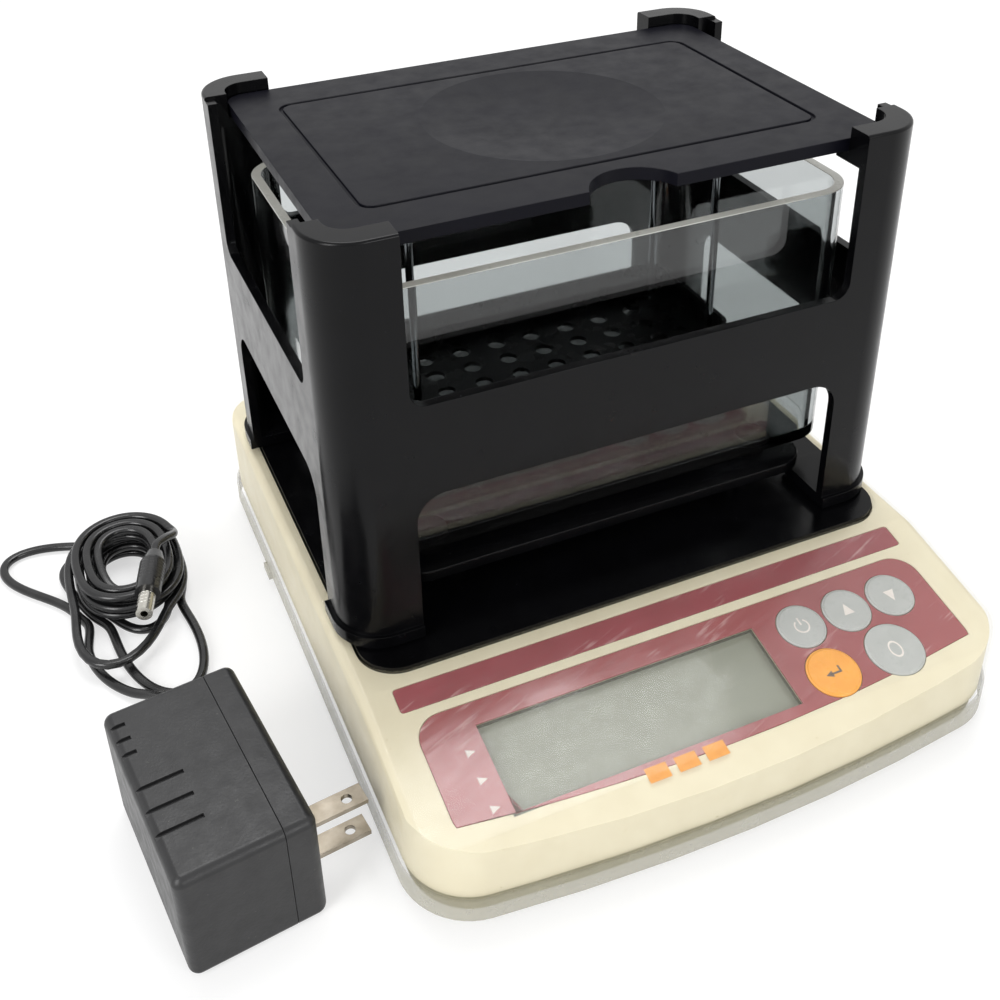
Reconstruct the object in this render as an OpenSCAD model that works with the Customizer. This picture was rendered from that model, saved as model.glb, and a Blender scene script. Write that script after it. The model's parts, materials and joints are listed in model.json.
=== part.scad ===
// Electronic gold tester: a compact balance with a weighing stage that surrounds a
// clear water tank, a lid that carries a basket in the water, and a plug-in adapter.
// Millimetres, +Z up, +X to the right of the person at the keys, origin on the table
// under the middle of the base.

/* [Base housing] */
// Width of the upper housing
base_w = 191; // [186:1:200]
// Depth of the upper housing at its middle
base_d = 221; // [216:1:230]
// Height of the flat top above the table
base_top = 40.5; // [39:0.5:44]
// How far the front bows out between its corners
front_sag = 4.4; // [2:0.2:6]
// Corner radius at the back of the base
back_corner_r = 16; // [10:1:22]
// Corner radius at the front of the base
front_corner_r = 20; // [12:1:24]
// Wall of the housings
wall = 2.5; // [2:0.1:3]
// Height of the line where the two housings meet
split_z = 12; // [11:0.5:13]
// How far the lower housing stands in from the upper one
lower_inset = 1.5; // [1:0.1:2]
// Angle of the control panel
slope_deg = 11.1; // [9:0.1:12]
// Height of the shoulder at the front edge
front_shoulder_z = 25.5; // [24:0.5:27]
// Radius of the rounded top edges
edge_r = 3; // [2:0.2:3.4]

/* [Feet and screws] */
// Height of the rubber feet
foot_h = 4; // [3:0.5:5]
// Radius of the rubber feet
foot_r = 7; // [5:0.5:9]
// Radius of the housing screws' shank
screw_r = 1.5; // [1.2:0.1:1.7]

/* [Dust cover] */
// Space between the housing and its clear cover
cover_gap = 0.9; // [0.8:0.1:1]
// Thickness of the clear cover
cover_t = 0.7; // [0.5:0.1:0.9]
// Height of the cover's lower edge
cover_low = 4.3; // [4.1:0.1:6]

/* [Control panel] */
// Thickness of the printed films
film_t = 0.5; // [0.3:0.1:0.6]
// Width of the title strip
strip_w = 171; // [150:1:174]
// Height of the title strip along the slope
strip_h = 7.8; // [6:0.2:8.4]
// Width of the keypad overlay
overlay_w = 168; // [162:1:172]
// Corner radius of the keypad overlay
overlay_r = 8; // [4:0.5:10]
// Width of the display opening
window_w = 90; // [70:1:92]
// Height of the display opening along the slope
window_h = 27.5; // [22:0.5:28]
// Place of the display's middle across the panel
window_x = -22.5; // [-24:0.5:-22]
// Radius of the three small keys
key_r = 7.6; // [6:0.1:7.7]
// Radius of the orange key
enter_r = 8.2; // [7:0.1:8.4]
// Radius of the large grey key
zero_r = 9; // [8:0.1:9.4]
// Travel of the keys
key_travel = 0.6; // [0.4:0.05:0.6]
// How far the keys stand above the film
key_rise = 0.5; // [0.3:0.1:0.6]

/* [Base tray] */
// Width of the tray in the base's top
tray_w = 180; // [176:0.5:180]
// Depth of the tray
tray_d = 151.6; // [146:0.2:152]
// Corner radius of the tray
tray_r = 12; // [8:1:15]
// Height of the tray's top above the housing
tray_rise = 1.8; // [1.4:0.1:2]
// Depth of the well that holds the tray
well_depth = 3; // [2.5:0.1:3.2]
// Radius of the hole for the pan support
boss_hole_r = 24; // [22:0.5:26]

/* [Weighing stage] */
// Place of the stage's middle in front of or behind the base's middle
stage_y = 26.5; // [26:0.1:27]
// Width over the posts
frame_w = 185.3; // [183:0.1:186]
// Depth over the posts
frame_d = 133.2; // [130:0.1:136]
// Corner radius of the posts
frame_r = 14; // [10:0.5:16]
// Wall of the posts and the belt
frame_t = 3; // [2.4:0.1:3.4]
// How far the stage's plate stands out past the posts
plate_rim = 1.2; // [0.6:0.1:1.6]
// Thickness of the stage's plate
plate_t = 4; // [3:0.2:4.4]
// Gap between the stage's plate and the tray
float_gap = 0.8; // [0.6:0.1:1]
// Height of the belt's lower edge
belt_low = 92.7; // [90:0.1:95]
// Height of the belt's upper edge
belt_high = 122.7; // [120:0.1:126]
// Half width of the openings in front and behind
front_open = 70; // [66:0.5:72]
// Half width of the openings at the sides
side_open = 45; // [42:0.5:46]
// Height of the post caps
cap_top = 174.5; // [173:0.5:176]
// Length of a cap's leg along the front
cap_leg_x = 22.6; // [20:0.2:24]
// Length of a cap's leg along the side
cap_leg_y = 17; // [15:0.2:19]

/* [Stage lid] */
// Width of the lid
lid_w = 170.3; // [168:0.1:171]
// Depth of the lid
lid_d = 115.8; // [113:0.1:117]
// Height of the lid's top
lid_top = 170.8; // [169:0.2:171.4]
// Thickness of the lid
lid_t = 4; // [3:0.2:4.4]
// Radius of the round dish
dish_r = 37.5; // [30:0.5:40]
// Depth of the round dish
dish_depth = 2; // [1:0.1:2.4]
// Width of the grooved outline
groove_w = 144.4; // [136:0.2:150]
// Depth of the grooved outline, front to back
groove_d = 84.2; // [80:0.2:88]
// Radius of the finger notch
notch_r = 14; // [12:0.5:15]

/* [Water tank] */
// Width of the tank
tank_w = 166; // [160:1:168]
// Depth of the tank, front to back
tank_d = 100.4; // [96:0.2:104]
// Height of the tank's rim
tank_top = 150; // [146:1:152]
// Wall of the tank
tank_t = 3; // [2:0.1:3.4]
// Corner radius of the tank
tank_r = 12; // [8:1:14]
// Height of the tank table's top
table_top = 56; // [55:0.2:57]
// Thickness of the tank table
table_t = 4; // [3:0.2:4.6]
// Width of the tank table
table_w = 144; // [136:1:148]
// Depth of the tank table, front to back
table_d = 112; // [106:1:114]
// Height of the tank's clear pads
pad_h = 3; // [2:0.2:3.4]
// Radius of the tank's clear pads
pad_r = 5.5; // [4:0.1:6]

/* [Basket] */
// Width of the basket
basket_w = 116; // [108:1:124]
// Depth of the basket, front to back
basket_d = 50; // [46:1:56]
// Height of the basket's floor
basket_z = 85; // [82:0.5:90]
// Height of the basket's wall
basket_h = 10; // [6:0.5:14]
// Thickness of the basket
basket_t = 1.5; // [1.2:0.1:2]
// Radius of the hanger rods
rod_r = 1.25; // [1:0.05:1.5]
// Radius of the basket's holes
mesh_r = 3; // [2:0.1:3.2]

/* [Load cell] */
// Length of the load cell
cell_l = 110; // [100:1:114]
// Width of the load cell
cell_w = 22; // [18:1:26]
// Height of the load cell
cell_h = 18; // [17:0.2:18]
// Gap under the pan support's arm
arm_gap = 0.6; // [0.5:0.05:0.8]
// Thickness of the pan support's arm
arm_t = 3; // [2.4:0.1:3.2]

/* [Adapter] */
// Width of the adapter, along the blades
adapter_w = 38.6; // [36:0.2:42]
// Length of the adapter
adapter_l = 64.2; // [60:0.2:68]
// Height of the adapter as it lies
adapter_h = 38; // [36:0.5:42]
// Wall of the adapter's case
adapter_wall = 2.2; // [1.8:0.1:2.6]
// Depth of the shell that holds the blades
blade_shell = 9.1; // [8.4:0.1:10]
// Distance between the blades
blade_pitch = 12.7; // [12.7:0.1:12.8]
// Length of the blades outside the case
blade_l = 17; // [15.9:0.1:18.3]
// Width of the blades
blade_w = 6.35; // [6.2:0.05:6.5]
// Thickness of the blades
blade_t = 1.5; // [1.4:0.1:1.6]

/* [Cord] */
// Diameter of the adapter's cord
cord_d = 3.2; // [3:0.1:3.2]
// Step from one turn of the hank to the next
hank_step = 3.85; // [3.8:0.05:4]
// Turns in one layer of the hank
hank_layer = 3; // [3:1:3]
// Inner radius of the hank's turns
hank_r = 8.6; // [8.4:0.1:9]
// Half length of the hank's straight runs
hank_run = 6; // [5:0.5:8]

/* [Hidden] */
$fn = 48;

// Thin slabs that the rounded shells are stretched over
slab = 0.2;
// Depth of a cut past the face it starts from
over = 1;
// Side gap of a film, window or lid in its recess
film_gap = 0.2;
// Radial clearance of a screw in its bore
bore_gap = 0.05;
// Gap that stays between a piece that lifts off and what it rests on
rest_gap = 0.2;

// Bow of the front: half its width and the radius that gives the sag
bow_half = base_w / 2 - front_corner_r;
bow_r = (bow_half * bow_half + front_sag * front_sag) / (2 * front_sag);
bow_angle = asin(bow_half / (bow_r - front_corner_r));
corner_y = bow_r - base_d / 2 - (bow_r - front_corner_r) * cos(bow_angle);
corner_steps = 12;
edge_steps = 6;
// How much wider the panel's bar is, so that its facets cross the top's one by one
panel_ease = 0.3;

// How far the front bevel runs in for each millimetre that it rises
front_bevel_run = 1.35;
front_edge_r = 7;

// Panel: where the slope starts, and the rows on it, measured down the slope
slope_y = stage_y - 80;
panel_len = (base_d / 2 + slope_y - front_edge_r) / cos(slope_deg);
strip_v = 1;
overlay_v = strip_v + strip_h + 3.4;
overlay_end = panel_len - 0.5;
window_v = overlay_v + 7.2 + window_h / 2;
top_row_v = overlay_v + 12.2;
low_row_v = top_row_v + 17.1;
power_x = 37;
left_x = power_x + 16.5;
right_x = left_x + 16.3;
enter_x = power_x - 0.2;
zero_x = enter_x + 22.1;
// Each key: name, place across, place down the slope, radius
KEYS = [
  ["key_power", power_x, top_row_v, key_r],
  ["key_left", left_x, top_row_v, key_r],
  ["key_right", right_x, top_row_v, key_r],
  ["key_enter", enter_x, low_row_v, enter_r],
  ["key_zero", zero_x, low_row_v, zero_r]
];
key_gap = 0.2;
stem_r = 3;
stem_gap = 0.2;
clip_r = 3.9;
clip_t = 0.8;
// Depths below the panel's face
window_t = 1;
lcd_depth = 3.3;
lcd_t = 2.8;
lcd_margin = 2;
holder_lip = 0.4;
holder_wall = 1.2;
board_depth = 9;
board_t = 1.6;
board_w = 160;
board_h = 36;
board_v = overlay_v + 19.8;
post_r = 3.4;
post_x = board_w / 2 - 4;
post_v = board_h / 2 - 4;
clip_gap = 0.1;
key_bottom = wall + clip_gap + clip_t;
board_screw_r = 1.25;
switch_gap = 0.1;
switch_plunger = 0.9;

// Tray and well
well_floor = base_top - well_depth;
tray_top = base_top + tray_rise;
tray_t = 2;
tray_gap = 0.5;
tray_collar = 2;
plate_z = tray_top + float_gap;
plate_top = plate_z + plate_t;

// Screws and feet
screw_head_r = 2.8;
screw_head_h = 2;
boss_r = 4.5;
screw_len = 14;
screw_places = [[-86, -84], [86, -84], [-83, 97], [83, 97]];
foot_x = 70;
foot_y = 78;
floor_z = foot_h + wall;

// Stage
socket_depth = 1;
post_seat_t = 3;
seat_reach = 5;
lid_gap = 0.4;
lid_r = 7;
belt_r = 9;
sill_r = 5;
leg_x = 50;
leg_y = 40;
leg_r = 5;
leg_gap = 3;
lid_low = lid_top - lid_t;

// Lid details
groove_cut = 1.2;
groove_deep = 0.8;
groove_r = 5;
notch_out = 4;
boss_len = 6;
rod_boss_r = 3.6;
rod_x = basket_w / 2 - 6;
rod_y = basket_d / 2 - 6;
nut_r = 2.6;
nut_h = 2;
mesh_step_x = 13;
mesh_step_y = 10;
mesh_cols = 7;
mesh_rows = 3;

// Tank
tank_low = table_top + rest_gap + pad_h;
pad_x = 58;
pad_y = 40;

// Load cell
cell_pad = 1.5;
cell_base_t = 3;
cell_z = floor_z + cell_base_t + cell_pad;
cell_end = 20;
cell_top = cell_z + cell_h;
arm_z = cell_top + arm_gap;
pan_r = 20;
pan_neck_r = 12;
cell_screw_r = 2;
cell_head_r = 3.4;
cell_head_h = 1.4;
cell_hole_gap = 0.6;
cell_web_r = 6;
cell_web_y = 14;
cell_slot = 5;
stop_gap = 0.45;

// Power jack in the back wall
jack_back = base_d / 2 - wall - lower_inset;
jack_x = 60;
jack_z = 20;
jack_w = 10;
jack_h = 11;
jack_l = 14;
jack_bore_r = 3.2;
jack_bore_l = 10;
jack_pin_r = 1;
jack_hole_r = 6;

cell_screw_x = 6;
cell_fix_x = 24;
cell_fix_y = 58;
cell_base_w = 60;
cell_base_l = 128;

// Leads inside the base, from the load cell and from the power jack to the board
lead_r = 0.9;
function board_point(x, v) = [
  x,
  slope_y - v * cos(slope_deg) + (board_depth + board_t) * sin(slope_deg),
  base_top - v * sin(slope_deg) - (board_depth + board_t) * cos(slope_deg)
];
function below_board(x, v, drop) = board_point(x, v) + drop * [0, sin(slope_deg), -cos(slope_deg)];
lead_v = 17;
cell_lead_path = [
  [cell_w / 2, 20, cell_top - 9],
  [cell_w / 2 + 3, 20, cell_top - 9],
  [22, 16, 17],
  [30, 4, 13],
  [36, -16, 12],
  [36, -40, 13],
  [36, -58, 15],
  below_board(36, lead_v, 8),
  below_board(36, lead_v, 3),
  board_point(36, lead_v)
];
jack_lead_path = [
  [jack_x, jack_back - jack_l, jack_z],
  [jack_x, jack_back - jack_l - 3, jack_z],
  [64, 78, 15],
  [66, 60, 12],
  [66, 20, 11],
  [64, -30, 12],
  [62, -54, 15],
  below_board(jack_x, lead_v, 8),
  below_board(jack_x, lead_v, 3),
  board_point(jack_x, lead_v)
];

// Adapter's place on the table
adapter_at = [-139.5, -55.5, 0];
adapter_turn = 7;
adapter_r = 3;
blade_y = -adapter_l / 2 + 11;
blade_in = 6;
blade_hole = 12;
blade_hole_r = 1.5;
relief_x = 5;
relief_z = 10;
relief_l = 14;
relief_r = 4;
relief_tip_r = 2.4;
relief_flange = 1.5;
core_y = 8;
core_h = adapter_h - 2 * adapter_wall - 0.1;
short_groove = [13, 5.5, 5];
long_groove = [-16.5, 8.2, 13.8];
groove_t = 1.4;

// Cord: a hank in two pairs of layers, and the two free stretches
hank_at = [-144, 69];
hank_start = 200;
hank_turns = 11.5;
hank_low = cord_d / 2 + 0.1;
// Bights that reach out of the hank: angle as the turns unwind, reach, spread
BIGHTS = [
  [150, 27, 24],
  [278 - 360, 38, 24],
  [150 - 360, 8, 30],
  [278 - 720, 8, 30],
  [250 - 2160, 20, 30]
];
rings_a_turn = 24;
bight_turns = 2;
plug_r = 4.3;
plug_l = 20;
barrel_r = 2.75;
barrel_l = 9.5;
barrel_bore_r = 1.25;
plug_at = [-134.5, 58.5, hank_low + 3 * hank_step + cord_d / 2 + plug_r + 0.1];
plug_turn = 163;

// Shared shapes

module round_rect(w, d, r) {
  square([w - 2 * r, d], center = true);
  square([w, d - 2 * r], center = true);
  for (sx = [-1, 1])
    for (sy = [-1, 1])
      translate([sx * (w / 2 - r), sy * (d / 2 - r)])
        circle(r);
}

module at_stage() {
  translate([0, stage_y, 0])
    children();
}

// Lays a piece on the sloping panel: local -Y runs down the slope to the front
module at_panel() {
  translate([0, slope_y, base_top])
    rotate([slope_deg, 0, 0])
      children();
}

// Points along an arc, without the last one where the next arc starts there
function arc(centre, r, from, to, count, last) =
  [for (i = [0 : count - (last ? 0 : 1)]) centre + r * [cos(from + i * (to - from) / count),
                                                       sin(from + i * (to - from) / count)]];

// Outline of the base with its bowed front, moved in by inset
module base_outline(inset) {
  back_x = base_w / 2 - back_corner_r;
  back_y = base_d / 2 - back_corner_r;
  polygon(concat(
    arc([-bow_half, corner_y], front_corner_r - inset, 180, 270 - bow_angle, corner_steps, false),
    arc([0, bow_r - base_d / 2], bow_r - inset, 270 - bow_angle, 270 + bow_angle, corner_steps, false),
    arc([bow_half, corner_y], front_corner_r - inset, 270 + bow_angle, 360, corner_steps, true),
    arc([back_x, back_y], back_corner_r - inset, 0, 90, corner_steps, true),
    arc([-back_x, back_y], back_corner_r - inset, 90, 180, corner_steps, true)
  ));
}

// Side profile that bevels the front edge below the panel
module side_profile(grow) {
  front = -base_d / 2 - grow;
  shoulder = front_shoulder_z + grow * (sqrt(1 + front_bevel_run * front_bevel_run) - 1) / front_bevel_run;
  rotate([90, 0, 90])
    linear_extrude(2 * base_w, center = true)
      polygon([
        [front - over, -over],
        [front - over, shoulder - over / front_bevel_run],
        [front + base_top * front_bevel_run, shoulder + base_top],
        [base_d, shoulder + base_top],
        [base_d, -over]
      ]);
}

// A bar with round edges along both sides, its top at z = 0; the lowest facets run on
// outwards, so that the sides come from the outline alone
module round_bar(half, r) {
  step = 90 / edge_steps;
  reach = 3 * base_top;
  out = half + reach * sin(step / 2);
  low = -r - reach * cos(step / 2);
  rotate([90, 0, 0])
    linear_extrude(4 * base_d, center = true)
      polygon(concat(
        [[out, low]],
        arc([half - r, -r], r, step, 90, edge_steps - 1, true),
        arc([r - half, -r], r, 90, 180 - step, edge_steps - 1, true),
        [[-out, low]]
      ));
}

// Side profile of the round back edge; its last facet runs on above the top
module back_profile(grow, top) {
  step = 90 / edge_steps;
  r = edge_r + grow;
  back = base_d / 2 + grow;
  reach = 2 * base_d;
  front = back - r - reach * cos(step / 2);
  rotate([90, 0, 90])
    linear_extrude(2 * base_w, center = true)
      polygon(concat(
        [[back, -over]],
        arc([back - r, top - r], r, 0, 90 - step, edge_steps - 1, true),
        [[front, top + reach * sin(step / 2)], [front, -over]]
      ));
}

// The base's outer form, grown by grow on every side and reaching down to low
module base_form(grow, low) {
  top = base_top + grow;
  intersection() {
    translate([0, 0, low])
      linear_extrude(top - low + over)
        base_outline(-grow);
    translate([0, 0, top])
      round_bar(base_w / 2 + grow, edge_r + grow);
    at_panel()
      translate([0, 0, grow])
        round_bar(base_w / 2 + grow + panel_ease, edge_r + grow);
    back_profile(grow, top);
    side_profile(grow);
  }
}

module overlay_outline(grow) {
  intersection() {
    translate([0, -(overlay_v + overlay_end) / 2])
      round_rect(overlay_w + 2 * grow, overlay_end - overlay_v + 2 * grow, overlay_r + grow);
    translate([0, bow_r - overlay_end])
      circle(bow_r + grow, $fn = 360);
  }
}

module strip_outline(grow) {
  translate([0, -strip_v - strip_h / 2])
    round_rect(strip_w + 2 * grow, strip_h + 2 * grow, 1 + grow);
}

module window_outline(grow) {
  translate([window_x, -window_v])
    square([window_w + 2 * grow, window_h + 2 * grow], center = true);
}

// A screw with its head below z = 0 and its shank above
module screw(shank_r, shank_l, head_r, head_h) {
  cylinder(r = shank_r, h = shank_l);
  translate([0, 0, -head_h])
    cylinder(r = head_r, h = head_h);
}

module at_posts() {
  for (sx = [-1, 1])
    for (sv = [-1, 1])
      translate([sx * post_x, sv * post_v - board_v, 0])
        children();
}

// Base housing

module upper_housing() {
  color("#ece1c0")
    difference() {
      union() {
        difference() {
          base_form(0, split_z);
          base_form(-wall, split_z - over);
        }
        at_stage()
          translate([0, 0, well_floor - wall])
            linear_extrude(well_depth + wall - edge_r / 2)
              round_rect(tray_w + 2 * tray_gap + 2 * wall, tray_d + 2 * tray_gap + 2 * wall,
                         tray_r + tray_gap + wall);
        intersection() {
          base_form(-wall / 2, split_z);
          union() {
            for (p = screw_places)
              translate([p[0], p[1], split_z])
                cylinder(r = boss_r, h = base_top - split_z);
            at_panel()
              at_posts()
                translate([0, 0, -board_depth])
                  cylinder(r = post_r, h = board_depth);
          }
        }
      }
      at_stage() {
        translate([0, 0, well_floor])
          linear_extrude(well_depth + over)
            round_rect(tray_w + 2 * tray_gap, tray_d + 2 * tray_gap, tray_r + tray_gap);
        translate([0, 0, well_floor - wall - over])
          cylinder(r = boss_hole_r, h = wall + 2 * over);
      }
      at_panel() {
        translate([0, 0, -film_t])
          linear_extrude(film_t + over) {
            overlay_outline(film_gap);
            strip_outline(film_gap);
          }
        translate([0, 0, -wall - over])
          linear_extrude(wall + 2 * over)
            window_outline(over);
        for (k = KEYS)
          translate([k[1], -k[2], 0]) {
            translate([0, 0, -film_t - key_travel - key_gap])
              cylinder(r = k[3] + key_gap, h = key_travel + key_gap + over);
            translate([0, 0, -wall - over])
              cylinder(r = stem_r + stem_gap, h = wall + over);
          }
        at_posts()
          translate([0, 0, -board_depth - over])
            cylinder(r = board_screw_r + bore_gap, h = board_depth - wall);
      }
      for (p = screw_places)
        translate([p[0], p[1], split_z - over])
          cylinder(r = screw_r + bore_gap, h = screw_len - split_z + floor_z + over);
      translate([jack_x, base_d / 2 - wall - over, jack_z])
        rotate([-90, 0, 0])
          cylinder(r = jack_hole_r, h = wall + 2 * over);
    }
}

module lower_housing() {
  color("#c3bfa9")
    difference() {
      union() {
        difference() {
          union() {
            translate([0, 0, foot_h])
              linear_extrude(floor_z - foot_h)
                base_outline(lower_inset + foot_h / 2);
            translate([0, 0, foot_h + 1])
              linear_extrude(split_z - foot_h - 1)
                base_outline(lower_inset);
          }
          translate([0, 0, floor_z])
            linear_extrude(split_z)
              base_outline(lower_inset + wall);
        }
        for (p = screw_places)
          translate([p[0], p[1], foot_h])
            cylinder(r = boss_r, h = split_z - foot_h);
        translate([jack_x - jack_w / 2, jack_back - jack_l, floor_z - over])
          cube([jack_w, jack_l - 2, jack_z - jack_h / 2 - floor_z + over]);
      }
      for (p = screw_places)
        translate([p[0], p[1], foot_h - over]) {
          cylinder(r = screw_head_r + 0.3, h = over + screw_head_h + 0.2);
          cylinder(r = screw_r + 0.2, h = split_z);
        }
      for (sx = [-1, 1])
        for (sy = [-1, 1])
          translate([sx * cell_fix_x, stage_y + sy * cell_fix_y, foot_h - over])
            cylinder(r = screw_r + bore_gap, h = wall + 2 * over);
    }
}

module rubber_feet() {
  color("#2b2b2b")
    for (sx = [-1, 1])
      for (sy = [-1, 1])
        translate([sx * foot_x, sy * foot_y, 0])
          cylinder(r1 = foot_r, r2 = foot_r - 0.5, h = foot_h);
}

module housing_screws() {
  color("silver")
    for (p = screw_places)
      translate([p[0], p[1], foot_h + screw_head_h + 0.2])
        screw(screw_r, screw_len - screw_head_h, screw_head_r, screw_head_h);
}

module dust_cover() {
  tab_y = stage_y + 23;
  tab_out = 1.2;
  tab_w = 7;
  tab_h = 2.5;
  color("#dfe3df", 0.3) {
    difference() {
      base_form(cover_gap + cover_t, cover_low);
      base_form(cover_gap, cover_low - over);
      at_stage()
        translate([0, 0, well_floor])
          linear_extrude(base_top)
            round_rect(tray_w + 4 * tray_gap, tray_d + 4 * tray_gap, tray_r + 2 * tray_gap);
      translate([jack_x, base_d / 2, jack_z])
        rotate([-90, 0, 0])
          cylinder(r = jack_hole_r + 1, h = 10);
    }
    for (side = [-1, 1])
      translate([side * (base_w / 2 + cover_gap + cover_t + tab_out / 2), tab_y, cover_low + tab_h / 2])
        cube([tab_out + slab, tab_w, tab_h], center = true);
  }
}

// Control panel

module title_strip() {
  color("#9c3f50")
    at_panel()
      translate([0, 0, -film_t])
        linear_extrude(film_t)
          strip_outline(0);
}

module keypad_overlay() {
  color("#a85260")
    at_panel()
      translate([0, 0, -film_t])
        linear_extrude(film_t)
          difference() {
            overlay_outline(0);
            window_outline(0);
            for (k = KEYS)
              translate([k[1], -k[2]])
                circle(k[3] + key_gap);
          }
}

module display_window() {
  color("#dfe6e2", 0.35)
    at_panel()
      translate([0, 0, -film_t - window_t])
        linear_extrude(window_t)
          window_outline(over - film_gap);
}

module lcd_panel() {
  color("#a3aa98")
    at_panel()
      translate([0, 0, -lcd_depth - lcd_t])
        linear_extrude(lcd_t)
          window_outline(lcd_margin);
}

module lcd_holder() {
  color("#3a3a3a")
    at_panel()
      translate([0, 0, -board_depth])
        difference() {
          linear_extrude(board_depth - wall - 0.1)
            window_outline(lcd_margin + holder_wall);
          translate([0, 0, -over])
            linear_extrude(over + board_depth - lcd_depth + film_gap)
              window_outline(lcd_margin + film_gap);
          translate([0, 0, -over])
            linear_extrude(board_depth + over)
              window_outline(holder_lip);
        }
}

// Conductive rubber strips between the board and the display glass
module contact_strips() {
  strip = 2.4;
  color("#555555")
    at_panel()
      for (side = [-1, 1])
        translate([window_x, side * (window_h / 2 + lcd_margin - strip) - window_v,
                   -board_depth])
          linear_extrude(board_depth - lcd_depth - lcd_t)
            square([window_w, strip], center = true);
}

module main_board() {
  color("#2f6b45")
    at_panel()
      translate([0, 0, -board_depth - board_t])
        linear_extrude(board_t)
          difference() {
            translate([0, -board_v])
              square([board_w, board_h], center = true);
            at_posts()
              circle(board_screw_r + bore_gap);
          }
}

module board_screws() {
  color("silver")
    at_panel()
      at_posts()
        translate([0, 0, -board_depth - board_t])
          screw(board_screw_r, board_depth - wall - 1, 2.4, 1.4);
}

module key_switches() {
  reach = board_depth - key_bottom - key_travel - switch_gap;
  color("#333333")
    at_panel()
      for (k = KEYS)
        translate([k[1], -k[2], -board_depth]) {
          linear_extrude(reach - switch_plunger)
            square(6, center = true);
          cylinder(r = 1.75, h = reach);
        }
}

module key(k) {
  at_panel()
    translate([k[1], -k[2], 0]) {
      translate([0, 0, -film_t])
        cylinder(r = k[3], h = film_t + key_rise * 0.5);
      cylinder(r1 = k[3], r2 = k[3] - 0.8, h = key_rise);
      translate([0, 0, -key_bottom])
        cylinder(r = stem_r, h = key_bottom);
      translate([0, 0, -key_bottom])
        cylinder(r = clip_r, h = clip_t);
    }
}

module key_power() {
  color("#b4b6b4") key(KEYS[0]);
}

module key_left() {
  color("#b4b6b4") key(KEYS[1]);
}

module key_right() {
  color("#b4b6b4") key(KEYS[2]);
}

module key_enter() {
  color("#f2a33c") key(KEYS[3]);
}

module key_zero() {
  color("#b4b6b4") key(KEYS[4]);
}

// Weighing works

module cell_base() {
  color("#9a9ea0")
    at_stage()
      difference() {
        union() {
          translate([-cell_base_w / 2, -cell_base_l / 2, floor_z])
            cube([cell_base_w, cell_base_l, cell_base_t]);
          translate([-cell_w / 2, cell_l / 2 - cell_end, floor_z + cell_base_t - over])
            cube([cell_w, cell_end, cell_pad + over]);
        }
        for (sx = [-1, 1])
          translate([sx * cell_screw_x, cell_l / 2 - cell_end / 2, floor_z - over]) {
            cylinder(r = cell_screw_r + bore_gap, h = cell_base_t + cell_pad + 2 * over);
            cylinder(r = cell_head_r + 0.3, h = over + cell_head_h);
          }
        translate([0, cell_end / 2 - cell_l / 2, floor_z - over])
          cylinder(r = cell_screw_r + bore_gap, h = cell_base_t + 2 * over);
        for (sx = [-1, 1])
          for (sy = [-1, 1])
            translate([sx * cell_fix_x, sy * cell_fix_y, floor_z - over])
              cylinder(r = screw_r + bore_gap, h = cell_base_t + 2 * over);
      }
}

module load_cell() {
  color("#c9ccce")
    at_stage()
      difference() {
        translate([-cell_w / 2, -cell_l / 2, cell_z])
          cube([cell_w, cell_l, cell_h]);
        for (side = [-1, 1])
          translate([-cell_w / 2 - over, side * cell_web_y, cell_z + cell_h / 2])
            rotate([0, 90, 0])
              cylinder(r = cell_web_r, h = cell_w + 2 * over);
        translate([-cell_w / 2 - over, -cell_web_y, cell_z + cell_h / 2 - cell_slot / 2])
          cube([cell_w + 2 * over, 2 * cell_web_y, cell_slot]);
        for (sx = [-1, 1]) {
          translate([sx * cell_screw_x, cell_l / 2 - cell_end / 2, cell_z - over])
            cylinder(r = cell_screw_r + bore_gap, h = 10 + over);
          translate([sx * cell_screw_x, cell_end / 2 - cell_l / 2, cell_top - 10])
            cylinder(r = cell_screw_r + cell_hole_gap, h = 10 + over);
        }
      }
}

// Two screws hold the load cell's fixed end, four hold its base
module cell_screws() {
  color("silver")
    at_stage() {
      for (sx = [-1, 1])
        translate([sx * cell_screw_x, cell_l / 2 - cell_end / 2, floor_z + cell_head_h])
          screw(cell_screw_r, cell_base_t + cell_pad - cell_head_h + 8, cell_head_r, cell_head_h);
      for (sx = [-1, 1])
        for (sy = [-1, 1])
          translate([sx * cell_fix_x, sy * cell_fix_y, floor_z + cell_base_t])
            mirror([0, 0, 1])
              screw(screw_r, cell_base_t + wall - 0.3, screw_head_r, screw_head_h);
    }
}

module overload_stop() {
  color("silver")
    at_stage()
      translate([0, cell_end / 2 - cell_l / 2, floor_z + 0.1])
        cylinder(r = cell_screw_r, h = cell_base_t + cell_pad - stop_gap - 0.1);
}

// Thin leads from the load cell and the power jack to the main board
module cell_leads() {
  color("#b03030")
    tube(cell_lead_path, lead_r, 6);
  color("#222222")
    tube(jack_lead_path, lead_r, 6);
}

module dc_jack() {
  color("#1f1f1f")
    translate([jack_x, jack_back - jack_l, jack_z])
      union() {
        difference() {
          translate([-jack_w / 2, 0, -jack_h / 2])
            cube([jack_w, jack_l, jack_h]);
          translate([0, jack_l - jack_bore_l, 0])
            rotate([-90, 0, 0])
              cylinder(r = jack_bore_r, h = jack_bore_l + over);
        }
        translate([0, jack_l - jack_bore_l - over, 0])
          rotate([-90, 0, 0])
            cylinder(r = jack_pin_r, h = jack_bore_l);
      }
}

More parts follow.
